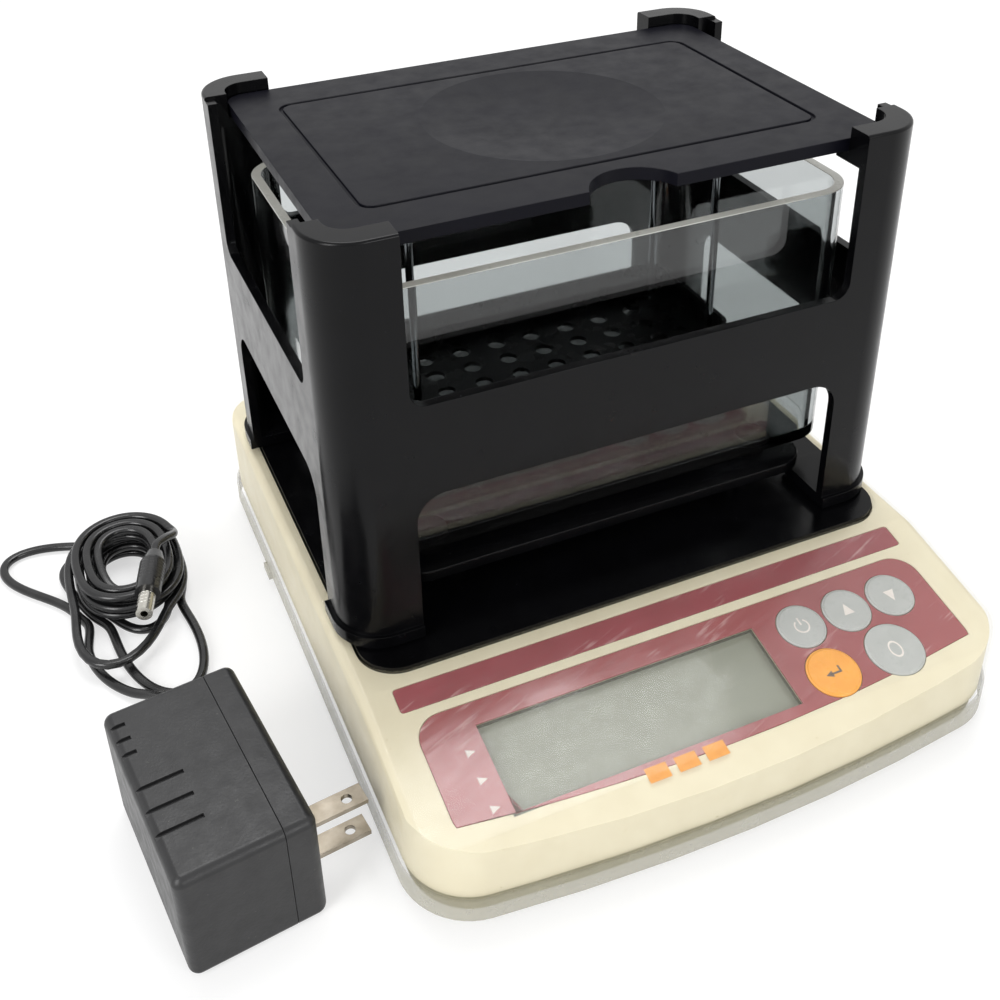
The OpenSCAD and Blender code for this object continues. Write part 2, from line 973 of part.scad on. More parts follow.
module base_tray() {
  color("#121214")
    at_stage()
      difference() {
        translate([0, 0, well_floor])
          linear_extrude(tray_top - well_floor)
            round_rect(tray_w, tray_d, tray_r);
        translate([0, 0, well_floor - over])
          linear_extrude(tray_top - well_floor - tray_t + over)
            difference() {
              round_rect(tray_w - 2 * tray_t, tray_d - 2 * tray_t, tray_r - tray_t);
              circle(boss_hole_r + tray_collar);
              for (sx = [-1, 1])
                for (sy = [-1, 1])
                  translate([sx * leg_x, sy * leg_y])
                    circle(leg_r);
            }
        translate([0, 0, well_floor - over])
          cylinder(r = boss_hole_r, h = tray_top);
        for (sx = [-1, 1])
          for (sy = [-1, 1])
            translate([sx * leg_x, sy * leg_y, well_floor - over]) {
              cylinder(r = screw_r + bore_gap, h = tray_top);
              cylinder(r = screw_head_r + 0.3, h = over + screw_head_h + 0.2);
            }
      }
}

module tank_table() {
  color("#161618")
    at_stage()
      difference() {
        union() {
          translate([0, 0, table_top - table_t])
            linear_extrude(table_t)
              round_rect(table_w, table_d, 10);
          for (sx = [-1, 1])
            for (sy = [-1, 1])
              translate([sx * leg_x, sy * leg_y, tray_top])
                cylinder(r = leg_r, h = table_top - table_t / 2 - tray_top);
        }
        for (sx = [-1, 1])
          for (sy = [-1, 1])
            translate([sx * leg_x, sy * leg_y, tray_top - over])
              cylinder(r = screw_r + bore_gap, h = 8 + over);
      }
}

module table_screws() {
  color("silver")
    at_stage()
      for (sx = [-1, 1])
        for (sy = [-1, 1])
          translate([sx * leg_x, sy * leg_y, well_floor + screw_head_h + 0.2])
            screw(screw_r, 8, screw_head_r, screw_head_h);
}

module pan_support() {
  color("#a7abad")
    at_stage()
      difference() {
        union() {
          translate([0, 0, plate_z + socket_depth - 3])
            cylinder(r = pan_r, h = 3);
          translate([0, 0, arm_z])
            cylinder(r = pan_neck_r, h = plate_z + socket_depth - 2 - arm_z);
          translate([-cell_w / 2, -cell_l / 2, arm_z])
            cube([cell_w, cell_l / 2, arm_t]);
        }
        for (sx = [-1, 1])
          translate([sx * cell_screw_x, cell_end / 2 - cell_l / 2, arm_z - over])
            cylinder(r = cell_screw_r + bore_gap, h = arm_t + 2 * over);
      }
}

module pan_screws() {
  color("silver")
    at_stage()
      for (sx = [-1, 1])
        translate([sx * cell_screw_x, cell_end / 2 - cell_l / 2, arm_z + arm_t])
          mirror([0, 0, 1])
            screw(cell_screw_r, arm_t + arm_gap + 7, cell_head_r, cell_head_h);
}

// Weighing stage

module frame_ring(thick, low, high) {
  translate([0, 0, low])
    linear_extrude(high - low)
      difference() {
        round_rect(frame_w, frame_d, frame_r);
        round_rect(frame_w - 2 * thick, frame_d - 2 * thick, frame_r - thick);
      }
}

// Four corner blocks that keep only what stands over the posts
module corner_zones(leg_w, leg_d, low, high) {
  for (sx = [-1, 1])
    for (sy = [-1, 1])
      translate([sx * (frame_w - leg_w) / 2, sy * (frame_d - leg_d) / 2, (low + high) / 2])
        cube([leg_w + slab, leg_d + slab, high - low], center = true);
}

// A window through two opposite walls, half wide, from low to high, with round corners
module wall_window(half, low, high, r) {
  translate([0, frame_w, (low + high) / 2])
    rotate([90, 0, 0])
      linear_extrude(2 * frame_w)
        round_rect(2 * half, high - low, r);
}

module stage_frame() {
  color("#0f0f11")
    at_stage()
      difference() {
        union() {
          translate([0, 0, plate_z])
            linear_extrude(plate_t)
              round_rect(frame_w + 2 * plate_rim, frame_d + 2 * plate_rim, frame_r + plate_rim);
          frame_ring(frame_t, plate_z, cap_top - over);
          intersection() {
            translate([0, 0, lid_low - rest_gap - post_seat_t])
              linear_extrude(cap_top - lid_low + rest_gap + post_seat_t)
                round_rect(frame_w, frame_d, frame_r);
            corner_zones(cap_leg_x, cap_leg_y, lid_low - rest_gap - post_seat_t, cap_top);
          }
        }
        translate([0, 0, lid_low - rest_gap])
          linear_extrude(cap_top)
            round_rect(lid_w + 2 * lid_gap, lid_d + 2 * lid_gap, lid_r);
        translate([0, 0, plate_top])
          linear_extrude(cap_top)
            round_rect(lid_w - 2 * seat_reach, lid_d - 2 * seat_reach, lid_r);
        wall_window(front_open, belt_high, cap_top + 3 * sill_r, sill_r);
        wall_window(front_open, plate_top - 2 * belt_r, belt_low, belt_r);
        rotate([0, 0, 90]) {
          wall_window(side_open, belt_high, cap_top + 3 * sill_r, sill_r);
          wall_window(side_open, plate_top - 2 * belt_r, belt_low, belt_r);
        }
        for (sx = [-1, 1])
          for (sy = [-1, 1])
            translate([sx * leg_x, sy * leg_y, plate_z - over])
              cylinder(r = leg_r + leg_gap, h = plate_t + 2 * over);
        translate([0, 0, plate_z - over])
          cylinder(r = pan_r + 0.3, h = socket_depth + over);
      }
}

module stage_lid() {
  dish_ball = (dish_r * dish_r + dish_depth * dish_depth) / (2 * dish_depth);
  color("#17171b")
    at_stage()
      difference() {
        union() {
          translate([0, 0, lid_low])
            linear_extrude(lid_t)
              round_rect(lid_w, lid_d, lid_r - lid_gap);
          for (sx = [-1, 1])
            for (sy = [-1, 1])
              translate([sx * rod_x, sy * rod_y, lid_low - boss_len])
                cylinder(r = rod_boss_r, h = boss_len + over);
        }
        translate([0, -lid_d / 2 - notch_out, lid_low - over])
          cylinder(r = notch_r, h = lid_t + 2 * over);
        translate([0, 0, lid_top - groove_deep])
          linear_extrude(groove_deep + over)
            difference() {
              round_rect(groove_w, groove_d, groove_r);
              round_rect(groove_w - 2 * groove_cut, groove_d - 2 * groove_cut, groove_r - groove_cut);
            }
        translate([0, 0, lid_top - dish_depth + dish_ball])
          sphere(r = dish_ball, $fn = 180);
        for (sx = [-1, 1])
          for (sy = [-1, 1])
            translate([sx * rod_x, sy * rod_y, lid_low - boss_len - over])
              cylinder(r = rod_r + bore_gap, h = boss_len + over);
      }
}

module basket_hangers() {
  rod_low = basket_z - nut_h - 0.5;
  color("#c4c7c9")
    at_stage()
      for (sx = [-1, 1])
        for (sy = [-1, 1])
          translate([sx * rod_x, sy * rod_y, rod_low])
            cylinder(r = rod_r, h = lid_low - rod_low);
}

module basket_nuts() {
  color("silver")
    at_stage()
      for (sx = [-1, 1])
        for (sy = [-1, 1])
          translate([sx * rod_x, sy * rod_y, basket_z - nut_h])
            difference() {
              cylinder(r = nut_r, h = nut_h, $fn = 6);
              translate([0, 0, -over])
                cylinder(r = rod_r + bore_gap, h = nut_h + 2 * over);
            }
}

module water_basket() {
  color("#1c1c1f")
    at_stage()
      difference() {
        translate([0, 0, basket_z])
          linear_extrude(basket_h)
            round_rect(basket_w, basket_d, 6);
        translate([0, 0, basket_z + basket_t])
          linear_extrude(basket_h)
            round_rect(basket_w - 2 * basket_t, basket_d - 2 * basket_t, 6 - basket_t);
        for (col = [0 : mesh_cols - 1])
          for (row = [0 : mesh_rows - 1])
            translate([(col - (mesh_cols - 1) / 2) * mesh_step_x,
                       (row - (mesh_rows - 1) / 2) * mesh_step_y, basket_z - over])
              cylinder(r = mesh_r, h = basket_t + 2 * over);
        for (sx = [-1, 1])
          for (sy = [-1, 1])
            translate([sx * rod_x, sy * rod_y, basket_z - over])
              cylinder(r = rod_r + bore_gap, h = basket_t + 2 * over);
      }
}

module water_tank() {
  color("#dfe8ea", 0.3)
    at_stage()
      difference() {
        translate([0, 0, tank_low])
          linear_extrude(tank_top - tank_low)
            round_rect(tank_w, tank_d, tank_r);
        translate([0, 0, tank_low + tank_t])
          linear_extrude(tank_top)
            round_rect(tank_w - 2 * tank_t, tank_d - 2 * tank_t, tank_r - tank_t);
      }
}

module tank_pads() {
  color("#d8dcda", 0.6)
    at_stage()
      for (sx = [-1, 1])
        for (sy = [-1, 1])
          translate([sx * pad_x, sy * pad_y, tank_low - pad_h])
            cylinder(r = pad_r, h = pad_h);
}

// Adapter

module at_adapter() {
  translate(adapter_at)
    rotate([0, 0, adapter_turn])
      children();
}

module adapter_form(inset) {
  hull()
    for (sx = [-1, 1])
      for (sy = [-1, 1])
        for (z = [adapter_r, adapter_h - adapter_r])
          translate([sx * (adapter_w / 2 - adapter_r), sy * (adapter_l / 2 - adapter_r), z])
            sphere(r = adapter_r - inset, $fn = 24);
}

module adapter_shell() {
  difference() {
    adapter_form(0);
    adapter_form(adapter_wall);
  }
}

module adapter_case() {
  color("#232426")
    at_adapter()
      difference() {
        adapter_shell();
        translate([adapter_w / 2 - blade_shell, -adapter_l, -over])
          cube([adapter_w, 2 * adapter_l, adapter_h + 2 * over]);
        for (g = [short_groove, long_groove])
          for (row = [0 : 2])
            translate([-adapter_w / 2 - over, g[0] + row * g[1], adapter_h - 1])
              cube([g[2] + over, groove_t, 1 + over]);
        translate([relief_x, adapter_l / 2 - adapter_wall - over, relief_z])
          rotate([-90, 0, 0])
            cylinder(r = relief_r - 1 + bore_gap, h = adapter_wall + 2 * over);
      }
}

module adapter_face() {
  color("#1d1e20")
    at_adapter()
      difference() {
        intersection() {
          adapter_shell();
          translate([adapter_w / 2 - blade_shell + 0.1, -adapter_l, -over])
            cube([adapter_w, 2 * adapter_l, adapter_h + 2 * over]);
        }
        at_blades()
          translate([-blade_in, -blade_w / 2 - bore_gap, -blade_t / 2 - bore_gap])
            cube([blade_in + over, blade_w + 2 * bore_gap, blade_t + 2 * bore_gap]);
      }
}

module at_blades() {
  for (side = [-1, 1])
    translate([adapter_w / 2, blade_y, adapter_h / 2 + side * blade_pitch / 2])
      children();
}

module adapter_blades() {
  color("#c9b98a")
    at_adapter()
      at_blades()
        difference() {
          translate([-blade_in, -blade_w / 2, -blade_t / 2])
            cube([blade_in + blade_l, blade_w, blade_t]);
          translate([blade_hole, 0, -blade_t])
            cylinder(r = blade_hole_r, h = 2 * blade_t);
        }
}

module transformer_core() {
  color("#6d6f72")
    at_adapter()
      translate([-2, core_y, adapter_h / 2])
        difference() {
          cube([20, 36, core_h], center = true);
          for (side = [-1, 1])
            translate([0, side * 8.5, 0])
              cube([20 + 2 * over, 7, 20], center = true);
        }
}

module transformer_winding() {
  color("#b5722c")
    at_adapter()
      translate([-2, core_y, adapter_h / 2])
        difference() {
          cube([29, 23.2, 19.2], center = true);
          cube([20.6, 10.6, 19.2 + 2 * over], center = true);
        }
}

module rectifier_board() {
  color("#a98a4a")
    at_adapter()
      translate([-15, core_y - 22, adapter_wall + bore_gap])
        cube([27, 1.6, 28]);
}

module smoothing_capacitor() {
  color("#26344d")
    at_adapter()
      translate([-5, core_y - 22, 20])
        rotate([90, 0, 0])
          cylinder(r = 4, h = 9);
}

module adapter_strain_relief() {
  color("#1b1c1e")
    at_adapter()
      translate([relief_x, adapter_l / 2, relief_z])
        rotate([-90, 0, 0]) {
          cylinder(r1 = relief_r, r2 = relief_tip_r, h = relief_l);
          translate([0, 0, -adapter_wall - relief_flange])
            cylinder(r = relief_r - 1, h = adapter_wall + relief_flange + slab);
          translate([0, 0, -adapter_wall - relief_flange])
            cylinder(r = relief_r, h = relief_flange - bore_gap);
        }
}

// Cord: tubes swept along a path

function unit(v) = v / norm(v);
function sum(v, i = 0) = i < len(v) ? v[i] + sum(v, i + 1) : 0;

function heading(p, i) = unit(p[min(i + 1, len(p) - 1)] - p[max(i - 1, 0)]);

function ring(p, i, r, sides) =
  let (d = heading(p, i), s = unit(cross(d, [0, 0, 1])), u = cross(s, d))
  [for (k = [0 : sides - 1]) p[i] + r * cos(360 * k / sides) * s + r * sin(360 * k / sides) * u];

module tube(p, r, sides) {
  last = (len(p) - 1) * sides;
  polyhedron(
    points = [for (i = [0 : len(p) - 1]) each ring(p, i, r, sides)],
    faces = concat(
      [for (i = [0 : len(p) - 2])
        for (k = [0 : sides - 1])
          each [
            [i * sides + k, i * sides + (k + 1) % sides, (i + 1) * sides + (k + 1) % sides],
            [i * sides + k, (i + 1) * sides + (k + 1) % sides, (i + 1) * sides + k]
          ]],
      [for (k = [1 : sides - 2]) [0, k + 1, k]],
      [for (k = [1 : sides - 2]) [last, last + k, last + k + 1]]
    )
  );
}

// Turn t of the hank counts from its outer start; the spiral runs in and out again
function hank_fold(t) = abs((t + hank_layer) % (2 * hank_layer) - hank_layer);
function hank_radius(t) = hank_r + hank_step * (hank_layer - hank_fold(t));
function ease(x) = x * x * (3 - 2 * x);
function hank_climb(t, n) = ease(min(1, max(0, (t - n * hank_layer + 0.25) * 2)));
function hank_z(t) = hank_low + hank_step * (hank_climb(t, 1) + hank_climb(t, 2) + hank_climb(t, 3));
function hank_bight(a) = sum([for (b = BIGHTS) b[1] * exp(-pow((a - b[0]) / b[2], 2))]);
function hank_point(t) =
  let (a = hank_start - 360 * t, r = hank_radius(t) + hank_bight(a), s = sin(a))
  [hank_at[0] + r * cos(a), hank_at[1] + r * s + hank_run * s / sqrt(s * s + 0.15), hank_z(t)];

hank_mid = [
  for (t = concat(
    [for (i = [0 : 2 * bight_turns * rings_a_turn - 1]) i / (2 * rings_a_turn)],
    [for (i = [bight_turns * rings_a_turn : hank_turns * rings_a_turn]) i / rings_a_turn]
  )) hank_point(t)
];
hank_last = len(hank_mid) - 1;
hank_in = unit(hank_mid[1] - hank_mid[0]);
hank_out = unit(hank_mid[hank_last] - hank_mid[hank_last - 1]);
hank_from = hank_mid[0] - cord_d * hank_in;
hank_to = hank_mid[hank_last] + cord_d * hank_out;
hank_path = concat([hank_from], hank_mid, [hank_to]);
hank_gap = min([
  for (i = [0 : hank_last])
    for (j = [i + rings_a_turn / 2 : 1 : hank_last])
      norm(hank_mid[i] - hank_mid[j])
]) - cord_d;
echo(hank_least_gap = hank_gap);

relief_tip = [
  adapter_at[0] + relief_x * cos(adapter_turn) - (adapter_l / 2 + relief_l) * sin(adapter_turn),
  adapter_at[1] + relief_x * sin(adapter_turn) + (adapter_l / 2 + relief_l) * cos(adapter_turn),
  relief_z
];
relief_way = [-sin(adapter_turn), cos(adapter_turn), 0];
lead_path = concat(
  [relief_tip, relief_tip + cord_d * relief_way],
  [
    [-143, 2.5, 7.4],
    [-147, 9, 4.3],
    [-152.5, 15, 2.2],
    [-157.5, 22, 1.7],
    [-161, 30, 1.7],
    [-162.6, 39, 1.7]
  ],
  [hank_from - cord_d * hank_in, hank_from]
);
plug_way = [-sin(plug_turn), cos(plug_turn), 0];
tail_path = concat(
  [hank_to, hank_to + cord_d * hank_out],
  [
    [-126.2, 71.5, 15.6],
    [-129.4, 67.5, 17.9]
  ],
  [plug_at - 1.6 * cord_d * plug_way, plug_at]
);

module cord_lead() {
  color("#161616")
    tube(lead_path, cord_d / 2, 8);
}

module cord_hank() {
  color("#161616")
    tube(hank_path, cord_d / 2, 6);
}

module cord_tail() {
  color("#161616")
    tube(tail_path, cord_d / 2, 8);
}

module at_plug() {
  translate(plug_at)
    rotate([0, 0, plug_turn])
      rotate([-90, 0, 0])
        children();
}

module dc_plug_body() {
  color("#17171a")
    at_plug()
      difference() {
        union() {
          cylinder(r1 = plug_r - 1.4, r2 = plug_r, h = 5);
          translate([0, 0, 5])
            cylinder(r = plug_r, h = plug_l - 5);
        }
        translate([0, 0, plug_l - 4])
          cylinder(r = barrel_r + bore_gap, h = 4 + over);
      }
}

module dc_plug_barrel() {
  color("#c7c9cb")
    at_plug()
      translate([0, 0, plug_l - 4])
        difference() {
          cylinder(r = barrel_r, h = barrel_l + 4);
          translate([0, 0, 2])
            cylinder(r = barrel_bore_r, h = barrel_l + 4);
        }
}

upper_housing();
lower_housing();
rubber_feet();
housing_screws();
dust_cover();
title_strip();
keypad_overlay();
display_window();
lcd_panel();
lcd_holder();
contact_strips();
main_board();
board_screws();
key_switches();
key_power();
key_left();
key_right();
key_enter();
key_zero();
cell_base();
load_cell();
cell_screws();
overload_stop();
cell_leads();
dc_jack();
base_tray();
tank_table();
table_screws();
pan_support();
pan_screws();
stage_frame();
stage_lid();
basket_hangers();
water_basket();
basket_nuts();
water_tank();
tank_pads();
adapter_case();
adapter_face();
adapter_blades();
transformer_core();
transformer_winding();
rectifier_board();
smoothing_capacitor();
adapter_strain_relief();
cord_lead();
cord_hank();
cord_tail();
dc_plug_body();
dc_plug_barrel();
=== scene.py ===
"""Electronic gold tester: the looks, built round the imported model. Metres, +Z up, +X to the
right of the person at the keys."""

import json
import math

import bmesh
import bpy
import numpy as np
from mathutils import Matrix, Vector

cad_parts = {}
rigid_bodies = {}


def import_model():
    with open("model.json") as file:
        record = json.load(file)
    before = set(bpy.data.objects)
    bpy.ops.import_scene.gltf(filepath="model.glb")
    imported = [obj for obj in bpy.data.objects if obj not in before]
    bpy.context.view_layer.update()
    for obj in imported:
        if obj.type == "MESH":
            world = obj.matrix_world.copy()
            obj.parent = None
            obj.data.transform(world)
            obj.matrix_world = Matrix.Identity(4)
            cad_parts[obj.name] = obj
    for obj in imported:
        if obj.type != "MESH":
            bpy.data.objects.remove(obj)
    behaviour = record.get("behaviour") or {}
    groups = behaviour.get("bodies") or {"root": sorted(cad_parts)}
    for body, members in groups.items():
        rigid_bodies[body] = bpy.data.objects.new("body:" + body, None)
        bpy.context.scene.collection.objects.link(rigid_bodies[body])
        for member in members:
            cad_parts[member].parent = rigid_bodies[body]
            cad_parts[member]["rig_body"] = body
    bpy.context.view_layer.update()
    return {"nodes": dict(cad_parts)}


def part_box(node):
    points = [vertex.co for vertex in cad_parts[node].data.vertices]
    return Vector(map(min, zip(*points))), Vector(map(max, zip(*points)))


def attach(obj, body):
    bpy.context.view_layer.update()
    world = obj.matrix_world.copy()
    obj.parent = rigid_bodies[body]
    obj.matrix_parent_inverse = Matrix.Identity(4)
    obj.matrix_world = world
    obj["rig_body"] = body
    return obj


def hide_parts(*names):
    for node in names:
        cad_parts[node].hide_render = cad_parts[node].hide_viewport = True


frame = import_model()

MM = 0.001
scene = bpy.context.scene
NODES = frame["nodes"]


# ---------------------------------------------------------------- camera

CAMERA_AT = (-0.1570, -0.3040, 0.3124)
CAMERA_TURN = (60.317, 1.2565, -23.304)
CAMERA_LENS = 45.74
CAMERA_SHIFT = (0.0122, -0.1967)


def make_camera():
    data = bpy.data.cameras.new("camera")
    data.lens = CAMERA_LENS
    data.sensor_width = 36
    data.shift_x, data.shift_y = CAMERA_SHIFT
    data.clip_start = 0.01
    data.clip_end = 20
    camera = bpy.data.objects.new("camera", data)
    camera.location = CAMERA_AT
    camera.rotation_euler = [math.radians(a) for a in CAMERA_TURN]
    scene.collection.objects.link(camera)
    scene.camera = camera


make_camera()


# ---------------------------------------------------------------- materials

def colour(code):
    """A hex sRGB colour as the linear RGBA that the shaders take."""
    parts = [int(code[i:i + 2], 16) / 255 for i in (1, 3, 5)]
    return tuple(c / 12.92 if c <= 0.04045 else ((c + 0.055) / 1.055) ** 2.4 for c in parts) + (1.0,)


def add(tree, kind, settings=None, **inputs):
    """Add a node: settings are its options, inputs its sockets, each a value or a socket to link."""
    made = tree.nodes.new(kind)
    for name, value in (settings or {}).items():
        setattr(made, name, value)
    for name, value in inputs.items():
        socket = made.inputs[int(name[1:])] if name[1:].isdigit() else made.inputs[name.replace("_", " ")]
        if isinstance(value, bpy.types.NodeSocket):
            tree.links.new(value, socket)
        else:
            socket.default_value = value
    return made


def new_material(name):
    """An empty node material and its output node."""
    made = bpy.data.materials.new(name)
    made.use_nodes = True
    made.node_tree.nodes.clear()
    return made, made.node_tree, made.node_tree.nodes.new("ShaderNodeOutputMaterial")


def grain(tree, place, size, detail=3.0, stretch=(1, 1, 1)):
    """Noise with spots about size metres across, as its factor socket."""
    spread = add(tree, "ShaderNodeMapping", Vector=place, Scale=[1 / s for s in stretch])
    return add(tree, "ShaderNodeTexNoise", Vector=spread.outputs["Vector"], Scale=1 / size,
               Detail=detail, Roughness=0.55).outputs["Fac"]


def between(tree, factor, low, high, start=0.3, end=0.7):
    """Turn a factor into a value from low to high."""
    return add(tree, "ShaderNodeMapRange", Value=factor, From_Min=start, From_Max=end,
               To_Min=low, To_Max=high).outputs["Result"]


def blend_colours(tree, factor, first, second):
    return add(tree, "ShaderNodeMix", {"data_type": "RGBA"}, i0=factor, i6=first,
               i7=second).outputs[2]


def moulded(name, base, deep, rough, spark=0.35 * MM, depth=0.012 * MM, mottle=14 * MM,
            smudge=0.07, stretch=(1, 1, 1), speck=None, **shader):
    """A moulded or rolled surface: slow colour drift, spark-eroded grain and uneven gloss.
    speck is an optional (colour, size, share) of dust on it."""
    material, tree, out = new_material(name)
    place = tree.nodes.new("ShaderNodeTexCoord").outputs["Object"]
    drift = between(tree, grain(tree, place, mottle), 0, 1)
    tone = blend_colours(tree, drift, colour(base), colour(deep))
    if speck:
        dust = between(tree, grain(tree, place, speck[1], 2.0), 0, 0.75, 1 - speck[2], 1.04 - speck[2])
        tone = blend_colours(tree, dust, tone, colour(speck[0]))
    gloss = between(tree, grain(tree, place, mottle / 2, 4.0, stretch), rough - smudge, rough + smudge)
    bump = add(tree, "ShaderNodeBump", Strength=1.0, Distance=depth,
               Height=grain(tree, place, spark, 2.0, stretch))
    skin = add(tree, "ShaderNodeBsdfPrincipled", Base_Color=tone, Roughness=gloss,
               Normal=bump.outputs["Normal"], **shader)
    tree.links.new(skin.outputs["BSDF"], out.inputs["Surface"])
    return material


# Warm ivory ABS from a spark-eroded mould: even satin, soft highlights along its edges
ivory_abs = moulded("ivory_abs", "#e6dec4", "#dfd6bb", 0.42, speck=("#b9a877", 1.1 * MM, 0.27))
# The same ABS seen through the clear cover's hazy skirt, painted greyer and flatter as shade on the inset
# lower shell
lower_abs = moulded("lower_abs", "#bfb99c", "#b3ad91", 0.5)
# Dyed glossy ABS: near black, with a sharp sheen and a little dust
gloss_abs = moulded("gloss_black_abs", "#050506", "#070709", 0.22, spark=0.8 * MM, depth=0.002 * MM,
                    smudge=0.06, speck=("#232226", 0.7 * MM, 0.26), Specular_IOR_Level=0.16)
# Fine-textured black ABS of the lid: matt, tinted faintly blue all over as a painted reflection of bluish
# light, which shows where it faces the light
matt_abs = moulded("matt_black_abs", "#08080f", "#0b0b13", 0.38, spark=0.3 * MM, depth=0.01 * MM,
                   speck=("#2a2a33", 0.8 * MM, 0.25), Specular_IOR_Level=0.09)
# Black polystyrene of the adapter: dark grey, with a pebbled mould texture that sparkles
adapter_styrene = moulded("adapter_styrene", "#262627", "#1f1f20", 0.4, spark=0.9 * MM,
                          depth=0.045 * MM, mottle=9 * MM, Specular_IOR_Level=0.4,
                          speck=("#4b4b46", 1.1 * MM, 0.27))
# Black PVC of cord and plug: smooth and oily bright
cord_pvc = moulded("cord_pvc", "#121213", "#19191a", 0.24, spark=1.2 * MM, depth=0.01 * MM,
                   mottle=11 * MM)
# Vulcanised rubber: dull and dark
foot_rubber = moulded("foot_rubber", "#1d1d1e", "#262626", 0.75)
# Silicone rubber keys: smooth, a little chalky, lit at the rim
key_silicone = moulded("key_silicone", "#b7bab9", "#aeb1b0", 0.3, mottle=5 * MM)
orange_silicone = moulded("orange_silicone", "#f8ab38", "#f29f2a", 0.3, mottle=5 * MM)
# Zinc-plated steel: bright with fine turning marks
plated_steel = moulded("plated_steel", "#c3c6c8", "#b4b7ba", 0.26, spark=0.25 * MM,
                       stretch=(1, 1, 6), Metallic=1.0)
# Polished stainless of the hangers: mirrors the black round it, with bright edges
polished_steel = moulded("polished_steel", "#85888b", "#7a7d80", 0.08, spark=0.6 * MM,
                         depth=0.003 * MM, smudge=0.03, Metallic=1.0)
# Black ABS of the basket: glossy, flecked with dried water spots
basket_abs = moulded("basket_abs", "#050506", "#0a0a0c", 0.3, speck=("#77797c", 0.5 * MM, 0.31),
                     Specular_IOR_Level=0.15)
# Tinned brass of the blades: dull silver-gold, rubbed along the length
tinned_brass = moulded("tinned_brass", "#a79e90", "#8d8475", 0.38, spark=0.5 * MM, depth=0.02 * MM,
                       mottle=5 * MM, stretch=(7, 1, 1), Metallic=1.0)
# Nickel plate of the plug's barrel: bright and slightly yellow
nickel_plate = moulded("nickel_plate", "#c9c7c0", "#b7b4ab", 0.18, spark=0.4 * MM, Metallic=1.0)
# Extruded and milled aluminium of the load cell: pale, drawn lengthwise
milled_aluminium = moulded("milled_aluminium", "#c5c8ca", "#b5b8bb", 0.36, spark=0.4 * MM,
                           stretch=(1, 8, 1), Metallic=1.0)
# Oiled transformer laminations: dark steel with a line at every 0.5 mm sheet
lamination_steel = moulded("lamination_steel", "#5d5f63", "#494b50", 0.4, spark=0.5 * MM,
                           depth=0.05 * MM, stretch=(1, 12, 12), Metallic=1.0)
# Enamelled copper wire under tape: shiny brown ribs as wide as the wire
enamelled_copper = moulded("enamelled_copper", "#a8602a", "#8d4c1f", 0.28, spark=0.6 * MM,
                           depth=0.08 * MM, stretch=(1, 1, 9), Metallic=0.8)
# Solder-masked glass fibre and phenolic paper boards
masked_board = moulded("masked_board", "#1f6a41", "#195a37", 0.35, mottle=6 * MM)
paper_board = moulded("paper_board", "#a5813f", "#947238", 0.55, mottle=6 * MM)
# Shrink sleeve of the capacitor: glossy navy film
shrink_sleeve = moulded("shrink_sleeve", "#1c2a52", "#18244a", 0.25)


def clear_sheet(name, tint, opacity, rough, ior):
    """A thin clear wall that tints what is behind it. The raised IOR makes up for the gloss
    that its opacity takes away."""
    material, tree, out = new_material(name)
    place = tree.nodes.new("ShaderNodeTexCoord").outputs["Object"]
    haze = between(tree, grain(tree, place, 6 * MM, 4.0), rough * 0.6, rough * 1.6)
    waves = add(tree, "ShaderNodeBump", Strength=1.0, Distance=0.02 * MM,
                Height=grain(tree, place, 9 * MM))
    skin = add(tree, "ShaderNodeBsdfPrincipled", Base_Color=colour(tint), Roughness=haze,
               Alpha=opacity, IOR=ior, Normal=waves.outputs["Normal"])
    tree.links.new(skin.outputs["BSDF"], out.inputs["Surface"])
    return material


# Vacuum-formed clear PVC over the housing: a hazy skin with glints on its folds
cover_pvc = clear_sheet("cover_pvc", "#d8d2b4", 0.05, 0.12, 2.2)
# The cover's skirt is thicker to look through at its hem, and greyer
skirt_pvc = clear_sheet("skirt_pvc", "#a9a58f", 0.45, 0.3, 1.7)
# Acrylic window over the display
window_acrylic = clear_sheet("window_acrylic", "#c3c7be", 0.08, 0.06, 1.6)


def cast_acrylic(name, tint, rough):
    """Clear cast acrylic: light bends through its 3 mm walls and brightens at its edges."""
    material, tree, out = new_material(name)
    place = tree.nodes.new("ShaderNodeTexCoord").outputs["Object"]
    haze = between(tree, grain(tree, place, 8 * MM, 4.0), rough, rough + 0.05)
    skin = add(tree, "ShaderNodeBsdfPrincipled", Base_Color=colour(tint), Roughness=haze,
               IOR=1.49, Transmission_Weight=1.0)
    tree.links.new(skin.outputs["BSDF"], out.inputs["Surface"])
    return material


tank_acrylic = cast_acrylic("tank_acrylic", "#c3c7c7", 0.01)


# Sawn and flamed acrylic edge, pale grey, with a painted glow: emission stands in for the light that the
# wall carries out to it
edge_acrylic = moulded("edge_acrylic", "#a9aca8", "#8d908d", 0.3, spark=1.5 * MM,
                       Emission_Color=colour("#8f8c84"), Emission_Strength=0.55)
# Soft clear vinyl pads: milky rims
pad_vinyl = moulded("pad_vinyl", "#8d8987", "#6a6664", 0.35, mottle=3 * MM)


